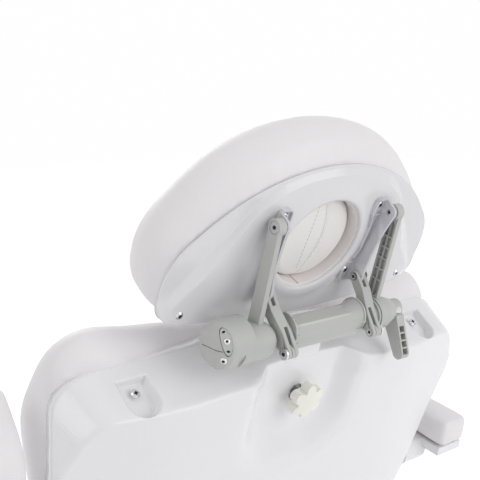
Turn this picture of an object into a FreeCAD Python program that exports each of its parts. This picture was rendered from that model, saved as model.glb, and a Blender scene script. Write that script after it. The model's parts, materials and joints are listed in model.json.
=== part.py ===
import FreeCAD, Part
import os
from math import acos, atan2, cos, hypot, pi, sin, tan

# Beauty treatment chair: lift column, reclining back, leg rest, flip-up armrests and a linked headrest.
# Millimetres. X is the width, -Y the front, +Z up, and the origin is on the floor under the column.

V = FreeCAD.Vector
X_DIR = V(1, 0, 0)
Y_DIR = V(0, 1, 0)
Z_DIR = V(0, 0, 1)

# Clearances
PART_GAP = 0.5
SLIDE_GAP = 0.4
RUN_FIT = 0.05
OPEN_PIVOT_PLAY = 1.0

# Base
BASE_LENGTH = 760.0
BASE_HALF_WIDTH = 255.0
TUBE_WIDTH = 50.0
TUBE_HEIGHT = 40.0
TUBE_WALL = 2.5
FOOT_RADIUS = 28.0
FOOT_HEIGHT = 30.0
FOOT_DISC = 12.0
FOOT_STUD = 6.0
FOOT_INSET = 40.0
BRACE_Y = 110.0
BASE_PLATE = 10.0
BASE_PLATE_WIDTH = 300.0
COVER_WIDTH = 420.0
COVER_LENGTH = 520.0
COVER_HEIGHT = 95.0
COVER_NECK_MARGIN = 34.0
INLET_WIDTH = 32.0
INLET_HEIGHT = 24.0

# Lift column
COLUMN_WIDTH = 152.0
COLUMN_DEPTH = 112.0
COLUMN_WALL = 6.0
COLUMN_TOP = 380.0
COLUMN_FLANGE = 44.0
INNER_WALL = 4.0
INNER_BOTTOM = 95.0
HEAD_PLATE = 8.0

# Seat
SEAT_Z = 545.0
SEAT_HALF_WIDTH = 292.0
SEAT_FRONT = -262.0
SEAT_REAR = 205.0
SEAT_PAD = 92.0
SEAT_SHELL_DEPTH = 67.0
SEAT_ROUND = 60.0
SEAT_TAPER = 40.0
SEAT_FALL = 140.0
PAD_EDGE = 96.0
POST_GAP = 8.0
SHELL_WALL = 3.0
RAIL_X = 174.0
RAIL_WIDTH = 24.0
RAIL_HEIGHT = 32.0
RAIL_DROP = 5.0

# Hinges of the back and the leg rest
BACK_HINGE_Y = 241.0
BACK_HINGE_RISE = 19.0
BACK_HINGE_Z = SEAT_Z + BACK_HINGE_RISE
LEG_HINGE_Y = -290.0
LEG_HINGE_RISE = 11.0
LEG_HINGE_Z = SEAT_Z + LEG_HINGE_RISE
EAR_RADIUS = 15.0
EAR_THICK = 8.0
HINGE_PIN = 8.0
EAR_SLOT = 1.0

# Backrest, measured up from its hinge
BACK_RECLINE = 20.0
BACK_BOTTOM = 22.0
BACK_TOP = 592.0
BACK_BOTTOM_HALF = 255.0
BACK_WAIST_HALF = 268.0
BACK_WAIST = 160.0
BACK_SHOULDER_HALF = 337.0
BACK_SHOULDER = BACK_TOP - 112.0
BACK_CORNER_HALF = 314.0
BACK_CORNER = BACK_TOP - 20.0
BACK_FOOT_ROUND = 40.0
BACK_WAIST_ROUND = 250.0
BACK_SHOULDER_ROUND = 110.0
BACK_CORNER_ROUND = 58.0
BACK_PEAK_ROUND = 1300.0
BACK_DIP_ROUND = 700.0
BACK_DEPTH = 62.0
BACK_CROWN = 2600.0
BACK_SEAM = 32.0
BACK_TOP_SEAM = 14.0
BACK_SEAM_RISE = BACK_TOP - 108.0
BACK_RIM = 36.0
BACK_PAD = 98.0
BACK_PAD_RISE = 20.0
BACK_PAD_SHOULDER = BACK_TOP + 32.0
FRAME_GAP = 3.0
FRAME_DEPTH = 14.0
FRAME_FOOT = 46.0
FRAME_LOW_BAR = 62.0
UPRIGHT_X = 170.0
UPRIGHT_WIDTH = 30.0
POCKET_X = 235.0
POCKET_HALF = 18.0
POCKET_LENGTH = 58.0
POCKET_BELOW_TOP = 37.0
POCKET_BEHIND = 29.0
POCKET_LEAN = 25.0
POCKET_REACH = 60.0
CORNER_SCREW = 5.5
CORNER_SCREW_UP = 12.0

# Headrest stem, its sleeve and the star knob
STEM_WIDTH = 30.0
STEM_THICK = 12.0
STEM_INSERT = 172.0
STEM_BOTTOM = BACK_TOP - STEM_INSERT
SLEEVE_WALL = 3.0
SLEEVE_INSERT = 182.0
SLEEVE_BOTTOM = BACK_TOP - SLEEVE_INSERT
COLLAR_BOTTOM = BACK_TOP - 24.0
COLLAR_TOP = BACK_TOP + 2.0
COLLAR_WALL = 8.0
KNOB_A = BACK_TOP - 76.0
KNOB_RADIUS = 25.0
KNOB_LOBES = 6
KNOB_LOBE = 7.5
KNOB_THICK = 16.0
KNOB_STUD = 5.0
STUD_HOLE = 9.0
RECESS_HALF = 88.0
RECESS_FLOOR_HALF = 64.0
RECESS_FLOOR_BOTTOM = KNOB_A - 57.0
RECESS_CHIN = 48.0
RECESS_DEPTH = 22.0
RECESS_ROUND = 34.0
RECESS_OVER = 6.0

# Crossbar and the linkage pivots, in the headrest's own frame: along it and out behind it
BAR_RISE = 25.5
BAR_BEHIND = 45.0
BAR_RADIUS = 18.0
BAR_ALONG = -16.6
BAR_OUT = 47.4
LUG_ALONG = -16.1
LUG_OUT = 77.2
UPPER_ALONG = 119.8
UPPER_OUT = 14.5
LOWER_ALONG = 25.2
LOWER_OUT = 16.7
PIN_RADIUS = 4.0
PIN_HEAD = 7.0
PIN_HEAD_THICK = 3.5
LUG_X = 71.0
LUG_THICK = 4.0
EAR_LOW_X = 77.0
EAR_HIGH_X = 88.0
EAR_EDGE = 2.0
PLATE_THICK = 4.0
BONE_WAIST = 20.5
BONE_EDGE = 6.0
CHEEK = 5.0
LINK_HALF = 7.0
LINK_LOW_SLOT = 30.0
LINK_HIGH_SLOT = 18.0
NECK_RADIUS = 8.0
NECK_START = 61.0
NECK_END = 84.0
STOP_THICK = 3.0
GUSSET_START = 26.0
GUSSET_END = 59.0
GUSSET_RISE = 29.0
GUSSET_FINS = 5
GUSSET_FIN = 2.2
GUSSET_FAN = 120.0
ARM_INNER = 92.0
ARM_THICK = 11.0
ARM_WEB = 7.0
ARM_RING = 22.5
ARM_SLEEVE = 20.0
ARM_BOSS = 10.0
ARM_FOOT = 9.5
ARM_TIP = 8.5
ARM_FORWARD = 8.0
ARM_WALL = 2.4
ARM_POCKET = 5.0
ARM_RIB = 1.8
ARM_RIBS = 5
HUB_RADIUS = 29.0
HUB_UP = 5.0
HUB_FORWARD = 3.0
HUB_LEFT_END = 168.0
HUB_BLUNT = 18.0
HUB_STEPS = 6
HUB_FLAT = 9.0
HUB_FLAT_DEPTH = 2.5
HUB_FLAT_TURN = 14.0
HUB_RIGHT_END = 128.0
HUB_RIGHT_TIP = 15.0
HUB_SOCKET = 6.0
LEVER_LENGTH = 56.0
LEVER_LEAN = 18.0
LEVER_WIDTH = 14.0
LEVER_EYE = 13.0
LEVER_TIP = 8.0
LEVER_WALL = 2.5
LEVER_HOLLOW = 20.0
LEVER_AXLE = 5.0
LEVER_RIBS = 3

# Headrest
HEAD_TILT = 27.3
HEAD_HALF = 215.0
HEAD_TOP = 189.0
HEAD_BOTTOM = -33.0
HEAD_CORNER = -14.0
HEAD_CORNER_HALF = 185.0
HEAD_FLANK = 39.0
HEAD_SHOULDER = 106.0
HEAD_SHOULDER_HALF = 185.0
HEAD_PLATE_THICK = 8.0
HEAD_RIM = 7.0
HEAD_RIM_WIDTH = 22.0
HEAD_RIM_SLOPE = 7.0
HEAD_PAD = 102.0
HOLE_ALONG = 72.6
HOLE_RADIUS = 66.0
LIP_RADIUS = 3.0
SLEEVE_THICK = 5.5
PLUG_LENGTH = HEAD_PAD + 4.0
PLUG_BACK = 1.0
PLUG_BULGE = 10.0
SHELL_SCREW_X = 182.3
BRACKET_TOP = 134.0
BRACKET_BOTTOM = 12.0
UPPER_SCREW_ALONG = 124.0
UPPER_SCREW_X = 79.0
LOWER_SCREW_ALONG = 26.5
LOWER_SCREW_X = 66.0
SCREW_HEAD = 5.0
SCREW_SEAT = 9.0
SHELF = 13.0
SCREW_RISE = 1.6
SCREW_SINK = 0.8

# Armrests, measured from their pivot: forward, up and out
ARM_PIVOT_A = 291.0
ARM_PIVOT_PIN = 8.0
ARM_BAR = 40.0
ARMREST_INNER = 352.0
ARMREST_WIDTH = 66.0
ARMREST_REAR = 58.0
ARMREST_FRONT = 276.0
ARMREST_TOP = 74.0
ARMREST_PAD = 50.0
ARMREST_NOSE = 62.0
ARMREST_EDGE = 9.0
ARMREST_TRAY = 14.0
ARMREST_SLOPE = 10.0
ARMREST_BLOCK_INNER = 318.0
ARMREST_BLOCK = 18.0
LEFT_RAISE = 90.0

# Leg rest, measured down from its hinge
LEG_DROP = 60.0
LEG_START = 22.0
LEG_LENGTH = 450.0
LEG_TOP_HALF = 284.0
LEG_FOOT_HALF = 232.0
LEG_PAD = 84.0
LEG_SHELL_START = 52.0
LEG_SHELL_DEPTH = 45.0
LEG_ROUND = 70.0
LEG_TOP_ROUND = 40.0
LEG_RIM = 10.0
LEG_TAPER = 34.0
LEG_RAIL_X = 150.0
LEG_RAIL_LENGTH = 316.0


def tilted(origin, angle):
    """Frame of a section: X across, Y along it and Z towards its upholstered side."""
    return FreeCAD.Placement(origin, FreeCAD.Rotation(X_DIR, angle))


def placed(shape, frame):
    copy = shape.copy()
    copy.Placement = frame.multiply(copy.Placement)
    return copy


def mirrored(shape):
    return shape.mirror(V(0, 0, 0), X_DIR)


def joined(shapes):
    return shapes[0].multiFuse(shapes[1:]).removeSplitter()


def box(x0, x1, y0, y1, z0, z1):
    return Part.makeBox(x1 - x0, y1 - y0, z1 - z0, V(x0, y0, z0))


def x_rod(x0, x1, y, z, radius):
    return Part.makeCylinder(radius, x1 - x0, V(x0, y, z), X_DIR)


def z_rod(x, y, z0, z1, radius):
    return Part.makeCylinder(radius, z1 - z0, V(x, y, z0), Z_DIR)


def rounded(corners, place):
    """Closed wire through corners (u, v, radius), each rounded by an arc; place maps u, v to a point."""
    ends = []
    count = len(corners)
    for i, (u, v, radius) in enumerate(corners):
        before = corners[i - 1]
        after = corners[(i + 1) % count]
        a = atan2(before[1] - v, before[0] - u)
        b = atan2(after[1] - v, after[0] - u)
        half = ((b - a) % (2 * pi)) / 2
        reach = radius / abs(tan(half))
        middle = a + half if half < pi / 2 else a + half + pi
        bow = hypot(reach, radius) - radius
        ends.append((
            place(u + reach * cos(a), v + reach * sin(a)),
            place(u + bow * cos(middle), v + bow * sin(middle)),
            place(u + reach * cos(b), v + reach * sin(b)),
        ))
    edges = []
    for i, (start, bend, end) in enumerate(ends):
        edges.append(Part.Arc(start, bend, end).toShape())
        edges.append(Part.LineSegment(end, ends[(i + 1) % count][0]).toShape())
    return Part.Wire(edges)


def level(z):
    return lambda u, v: V(u, v, z)


def across(x):
    return lambda u, v: V(x, u, v)


def rectangle(half_x, y0, y1, radius):
    return [(-half_x, y0, radius), (half_x, y0, radius), (half_x, y1, radius), (-half_x, y1, radius)]


def slab(corners, z0, z1):
    return Part.Face(rounded(corners, level(z0))).extrude(V(0, 0, z1 - z0))


def skin(wires, ruled=False):
    return Part.makeLoft(wires, True, ruled)


def hull(p, q, radius_p, radius_q, x0, x1):
    """Bar with round ends in the YZ plane, from p to q, between two planes across X."""
    run = atan2(q[1] - p[1], q[0] - p[0])
    lean = acos((radius_p - radius_q) / hypot(q[0] - p[0], q[1] - p[1]))

    def on(centre, radius, angle):
        return V(x0, centre[0] + radius * cos(angle), centre[1] + radius * sin(angle))

    edges = [
        Part.Arc(on(p, radius_p, run + lean), on(p, radius_p, run + pi),
                 on(p, radius_p, run - lean)).toShape(),
        Part.LineSegment(on(p, radius_p, run - lean), on(q, radius_q, run - lean)).toShape(),
        Part.Arc(on(q, radius_q, run - lean), on(q, radius_q, run), on(q, radius_q, run + lean)).toShape(),
        Part.LineSegment(on(q, radius_q, run + lean), on(p, radius_p, run + lean)).toShape(),
    ]
    return Part.Face(Part.Wire(edges)).extrude(V(x1 - x0, 0, 0))


def turned(points, axis_point, axis):
    """Solid of revolution of a closed profile about an axis."""
    wire = Part.makePolygon(points + points[:1])
    return Part.Face(wire).revolve(axis_point, axis, 360)


def tube(half_x, y0, y1, z0, z1, wall, along):
    """Square tube with open ends along X or Y."""
    outer = box(-half_x, half_x, y0, y1, z0, z1)
    if along == "x":
        inner = box(-half_x, half_x, y0 + wall, y1 - wall, z0 + wall, z1 - wall)
    else:
        inner = box(-half_x + wall, half_x - wall, y0, y1, z0 + wall, z1 - wall)
    return outer.cut(inner)


# Section frames
BACK = tilted(V(0, BACK_HINGE_Y, BACK_HINGE_Z), 90 - BACK_RECLINE)
LEG = tilted(V(0, LEG_HINGE_Y, LEG_HINGE_Z), LEG_DROP)
BAR_A = BACK_TOP + BAR_RISE
BAR_POINT = BACK.multVec(V(0, BAR_A, -BAR_BEHIND))
HEAD_TURN = FreeCAD.Rotation(X_DIR, 90 - HEAD_TILT)
HEAD = FreeCAD.Placement(BAR_POINT - HEAD_TURN.multVec(V(0, BAR_ALONG, -BAR_OUT)), HEAD_TURN)

# Pivots in the headrest's frame, as (along, depth)
BAR = (BAR_ALONG, -BAR_OUT)
LUG = (LUG_ALONG, -LUG_OUT)
UPPER = (UPPER_ALONG, -UPPER_OUT)
LOWER = (LOWER_ALONG, -LOWER_OUT)


def base():
    pieces = {}
    rail_x = BASE_HALF_WIDTH - TUBE_WIDTH / 2
    low = FOOT_HEIGHT
    top = FOOT_HEIGHT + TUBE_HEIGHT
    rail = tube(TUBE_WIDTH / 2, -BASE_LENGTH / 2, BASE_LENGTH / 2, low, top, TUBE_WALL, "y")
    frame = [rail.translated(V(side * rail_x, 0, 0)) for side in (-1, 1)]
    brace_half = rail_x - TUBE_WIDTH / 2
    end_y = (BASE_LENGTH - TUBE_WIDTH) / 2
    for y in (-end_y, -BRACE_Y, BRACE_Y, end_y):
        frame.append(tube(brace_half, y - TUBE_WIDTH / 2, y + TUBE_WIDTH / 2, low, top, TUBE_WALL, "x"))
    plate_half = BASE_PLATE_WIDTH / 2
    plate_y = BRACE_Y + TUBE_WIDTH / 2
    frame.append(slab(rectangle(plate_half, -plate_y, plate_y, 12), top, top + BASE_PLATE))
    pieces["base_frame"] = joined(frame)

    for name, side_x, side_y in (("front_left", 1, -1), ("front_right", -1, -1),
                                 ("rear_left", 1, 1), ("rear_right", -1, 1)):
        y = side_y * (BASE_LENGTH / 2 - FOOT_INSET)
        disc = Part.makeCone(FOOT_RADIUS, FOOT_RADIUS - 6, FOOT_DISC, V(side_x * rail_x, y, 0))
        stud = z_rod(side_x * rail_x, y, FOOT_DISC, FOOT_HEIGHT, FOOT_STUD)
        pieces["foot_" + name] = disc.fuse(stud)

    plate_top = top + BASE_PLATE
    half_w = COLUMN_WIDTH / 2
    half_d = COLUMN_DEPTH / 2
    flange = slab(rectangle(half_w + COLUMN_FLANGE, -half_d - COLUMN_FLANGE, half_d + COLUMN_FLANGE, 12),
                  plate_top, plate_top + HEAD_PLATE)
    post = slab(rectangle(half_w, -half_d, half_d, 14), plate_top, COLUMN_TOP)
    bore = slab(rectangle(half_w - COLUMN_WALL, -half_d + COLUMN_WALL, half_d - COLUMN_WALL, 8),
                plate_top, COLUMN_TOP)
    pieces["column_outer"] = flange.fuse(post).cut(bore)

    def cover(inset, z_shift):
        neck_x = half_w + COVER_NECK_MARGIN - inset
        neck_y = half_d + COVER_NECK_MARGIN - inset
        foot = rounded(rectangle(COVER_WIDTH / 2 - inset, -COVER_LENGTH / 2 + inset,
                                 COVER_LENGTH / 2 - inset, 60 - inset), level(top))
        waist = rounded(rectangle(COVER_WIDTH / 2 - 12 - inset, -COVER_LENGTH / 2 + 22 + inset,
                                  COVER_LENGTH / 2 - 22 - inset, 60 - inset), level(top + COVER_HEIGHT / 2))
        neck = rounded(rectangle(neck_x, -neck_y, neck_y, 30 - inset), level(top + COVER_HEIGHT - z_shift))
        return skin([foot, waist, neck], True)

    inlet_y = COVER_LENGTH / 2 - 14
    inlet_z = top + 12
    inlet = box(-INLET_WIDTH / 2, INLET_WIDTH / 2, inlet_y - 18, inlet_y + 8, inlet_z, inlet_z + INLET_HEIGHT)
    socket = box(-INLET_WIDTH / 2 + 4, INLET_WIDTH / 2 - 4, inlet_y - 8, inlet_y + 8,
                 inlet_z + 4, inlet_z + INLET_HEIGHT - 4)
    opening = slab(rectangle(half_w + PART_GAP, -half_d - PART_GAP, half_d + PART_GAP, 14),
                   top, top + COVER_HEIGHT)
    pieces["base_cover"] = cover(0, 0).cut(cover(SHELL_WALL, SHELL_WALL)).cut(opening).cut(inlet)
    pieces["power_inlet"] = inlet.cut(socket)
    return pieces


def hinge_ears(hinge, anchor, ear_x):
    """Pair of ear plates at plus and minus ear_x that carry a hinge, each drilled for its pin."""
    plate = hull(anchor, hinge, EAR_RADIUS - 2, EAR_RADIUS, ear_x, ear_x + EAR_THICK)
    return plate, mirrored(plate)


def seat():
    pieces = {}
    half_w = COLUMN_WIDTH / 2 - COLUMN_WALL - SLIDE_GAP
    half_d = COLUMN_DEPTH / 2 - COLUMN_WALL - SLIDE_GAP
    rail_top = SEAT_Z - RAIL_DROP
    rail_low = rail_top - RAIL_HEIGHT
    post = slab(rectangle(half_w, -half_d, half_d, 8), INNER_BOTTOM, rail_low)
    bore = slab(rectangle(half_w - INNER_WALL, -half_d + INNER_WALL, half_d - INNER_WALL, 4),
                INNER_BOTTOM, rail_low - HEAD_PLATE)
    head = slab(rectangle(half_w + 50, -half_d - 50, half_d + 50, 12), rail_low - HEAD_PLATE, rail_low)
    pieces["column_inner"] = post.fuse(head).cut(bore)

    inside = SHELL_WALL + 28
    rail = tube(RAIL_WIDTH / 2, SEAT_FRONT + inside, SEAT_REAR - inside, rail_low, rail_top, TUBE_WALL, "y")
    frame = [rail.translated(V(side * RAIL_X, 0, 0)) for side in (-1, 1)]
    cross_half = RAIL_X - RAIL_WIDTH / 2
    for y in (SEAT_FRONT + inside + 40, -70.0, 70.0, SEAT_REAR - inside - 40):
        frame.append(tube(cross_half, y - 20, y + 20, rail_low, rail_top, TUBE_WALL, "x"))
    mid_z = (rail_low + rail_top) / 2
    ear_x = RAIL_X - EAR_THICK / 2
    for hinge, anchor_y in (((BACK_HINGE_Y, BACK_HINGE_Z), SEAT_REAR - inside - 12),
                            ((LEG_HINGE_Y, LEG_HINGE_Z), SEAT_FRONT + inside + 12)):
        frame += hinge_ears(hinge, (anchor_y, mid_z), ear_x)
    shape = joined(frame)
    for y, z in ((BACK_HINGE_Y, BACK_HINGE_Z), (LEG_HINGE_Y, LEG_HINGE_Z)):
        shape = shape.cut(x_rod(-2 * RAIL_X, 2 * RAIL_X, y, z, HINGE_PIN))
    pieces["seat_frame"] = shape

    outside = ear_x + 2 * EAR_THICK + PART_GAP
    for name, y, z in (("back", BACK_HINGE_Y, BACK_HINGE_Z), ("leg", LEG_HINGE_Y, LEG_HINGE_Z)):
        pin = x_rod(ear_x - 3, outside + 1, y, z, HINGE_PIN)
        head = x_rod(outside + 1, outside + 5, y, z, HINGE_PIN + 4)
        pieces[name + "_hinge_pin_left"] = pin.fuse(head)
        pieces[name + "_hinge_pin_right"] = mirrored(pin.fuse(head))

    def pan(inset, depth):
        low = SEAT_TAPER + inset
        top_round = SEAT_ROUND - inset
        return skin([
            rounded(rectangle(SEAT_HALF_WIDTH - inset, SEAT_FRONT + inset, SEAT_REAR - inset, top_round),
                    level(SEAT_Z)),
            rounded(rectangle(SEAT_HALF_WIDTH - low, SEAT_FRONT + low, SEAT_REAR - low, 0.8 * top_round),
                    level(SEAT_Z - depth)),
        ], True)

    shell = pan(0, SEAT_SHELL_DEPTH).cut(pan(SHELL_WALL, SEAT_SHELL_DEPTH - SHELL_WALL))
    round_post = rectangle(half_w + POST_GAP, -half_d - POST_GAP, half_d + POST_GAP, 12)
    shell = shell.cut(slab(round_post, SEAT_Z - SEAT_SHELL_DEPTH, SEAT_Z))
    slots = []
    slot = EAR_THICK / 2 + EAR_SLOT
    rear_slot = (SEAT_REAR - inside - EAR_RADIUS, BACK_HINGE_Y, BACK_HINGE_Z)
    front_slot = (LEG_HINGE_Y, SEAT_FRONT + inside + EAR_RADIUS, LEG_HINGE_Z)
    for x in (-RAIL_X, RAIL_X):
        for y0, y1, z in (rear_slot, front_slot):
            slots.append(box(x - slot, x + slot, y0, y1, rail_low - EAR_SLOT, z + EAR_RADIUS + EAR_SLOT))
    slots = Part.makeCompound(slots)
    pieces["seat_shell"] = shell.cut(slots)

    rows = ((0.0, 0.04, 0.0), (0.24, -0.04, 0.04), (0.6, -0.02, 0.22), (0.85, 0.14, 0.37),
            (0.97, 0.44, 0.6), (1.0, 1.0, 1.0))
    pad = []
    for share, draw, rear in rows:
        front = SEAT_FRONT - POST_GAP + draw * PAD_EDGE
        half = SEAT_HALF_WIDTH - draw * PAD_EDGE
        outline = rectangle(half, front, SEAT_REAR - rear * SEAT_FALL, SEAT_ROUND)
        pad.append(rounded(outline, level(SEAT_Z + share * SEAT_PAD)))
    pad = skin(pad)
    pieces["seat_cushion"] = pad.cut(slots)
    return pieces


def back_corners(side, top, bottom, sharper=1.0):
    """Outline of the back, drawn in at its sides, top and bottom."""
    half = [
        (BACK_BOTTOM_HALF - side, BACK_BOTTOM + bottom, BACK_FOOT_ROUND / sharper),
        (BACK_WAIST_HALF - side, BACK_WAIST, BACK_WAIST_ROUND),
        (BACK_SHOULDER_HALF - side, BACK_SHOULDER, BACK_SHOULDER_ROUND / sharper),
        (BACK_CORNER_HALF - side, BACK_CORNER - top, BACK_CORNER_ROUND / sharper),
    ]
    peak = (0, BACK_TOP - top, BACK_PEAK_ROUND)
    return half + [peak] + [(-u, v, radius) for u, v, radius in reversed(half)]


SIDE_DRAFT = 1.84
TOP_DRAFT = 0.3
BOTTOM_DRAFT = 0.5


def back_body(wall):
    """Crowned rear shell, smaller by the wall: straight sides to the seam, then a sloped flank."""
    flare = wall * hypot(SIDE_DRAFT, 1) / SIDE_DRAFT
    wires = []
    for z in (BACK_TOP_SEAM, -BACK_SEAM, -BACK_DEPTH - 8):
        slope = SIDE_DRAFT * max(0, -z - BACK_SEAM)
        behind = BACK_TOP_SEAM - z
        corners = back_corners(flare + slope, wall + TOP_DRAFT * behind, wall + BOTTOM_DRAFT * slope)
        wires.append(rounded(corners, level(z)))
    low = V(0, -BACK_TOP / 2, BACK_CROWN - BACK_DEPTH)
    crown = Part.makeCylinder(BACK_CROWN - wall, 2 * BACK_TOP, low, Y_DIR)
    return skin(wires, True).common(crown)


def parted(far_z):
    """Space on one side of the seam sheet, which rises forward at the top of the back."""
    low = -BACK_TOP / 4
    high = 1.5 * BACK_TOP
    rise = BACK_SEAM_RISE + 1.5 * (BACK_SEAM + BACK_TOP_SEAM)
    corners = [(low, -BACK_SEAM, 1), (BACK_SEAM_RISE, -BACK_SEAM, 50), (rise, BACK_TOP_SEAM, 50),
               (high, BACK_TOP_SEAM, 1), (high, far_z, 1), (low, far_z, 1)]
    reach = 2 * BACK_SHOULDER_HALF
    return Part.Face(rounded(corners, across(-reach))).extrude(V(2 * reach, 0, 0))


def recess(wall):
    """Dished recess round the star knob, open at the top of the back, larger by the wall."""
    top = BACK_TOP + RECESS_ROUND
    bottom = RECESS_FLOOR_BOTTOM - wall
    over = 1 + RECESS_OVER / RECESS_DEPTH
    half = RECESS_FLOOR_HALF + (RECESS_HALF - RECESS_FLOOR_HALF) * over
    outer = rectangle(half + wall, bottom - RECESS_CHIN * over, top, RECESS_ROUND)
    inner = rectangle(RECESS_FLOOR_HALF + wall, bottom, top, RECESS_ROUND)
    floor = -BACK_DEPTH + RECESS_DEPTH + wall
    return skin([rounded(outer, level(-BACK_DEPTH - RECESS_OVER)), rounded(inner, level(floor))], True)


def pocket_frame(turn):
    """Frame on the floor of the screw pockets, which lean into the upper edge of the back."""
    return tilted(V(0, BACK_TOP - POCKET_BELOW_TOP, -POCKET_BEHIND), turn - POCKET_LEAN)


def pockets(wall):
    """Pair of screw pockets with a round lower end, larger by the wall."""
    half = POCKET_HALF + wall
    reach = POCKET_LENGTH / 2 + wall
    sharp = PART_GAP + wall
    corners = [(-half, -reach, sharp), (half, -reach, sharp),
               (half, reach, half - PART_GAP), (-half, reach, half - PART_GAP)]
    scoop = slab(corners, -wall, POCKET_REACH).translated(V(POCKET_X, 0, 0))
    scoop = placed(scoop, pocket_frame(-90))
    return Part.makeCompound([scoop, mirrored(scoop)])


def screw(x, y, z, radius):
    """Pan-head screw standing on a face that looks towards minus Z, with a cross slot."""
    head = Part.makeCone(radius, radius * 0.7, SCREW_RISE, V(x, y, z), V(0, 0, -1))
    half = radius * 0.55
    slot_a = box(x - half, x + half, y - 0.6, y + 0.6, z - SCREW_RISE, z - SCREW_RISE / 2)
    slot_b = box(x - 0.6, x + 0.6, y - half, y + half, z - SCREW_RISE, z - SCREW_RISE / 2)
    return head.cut(slot_a.fuse(slot_b))


FRAME_BACK = -FRAME_GAP - FRAME_DEPTH
SLEEVE_HALF_X = STEM_WIDTH / 2 + SLIDE_GAP + SLEEVE_WALL
SLEEVE_REAR = FRAME_BACK - STEM_THICK - 2 * SLIDE_GAP - 2 * SLEEVE_WALL
STEM_FRONT = FRAME_BACK - SLEEVE_WALL - SLIDE_GAP
STEM_REAR = STEM_FRONT - STEM_THICK
ARM_PIVOT_Z = FRAME_BACK - STEM_THICK / 2


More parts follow.
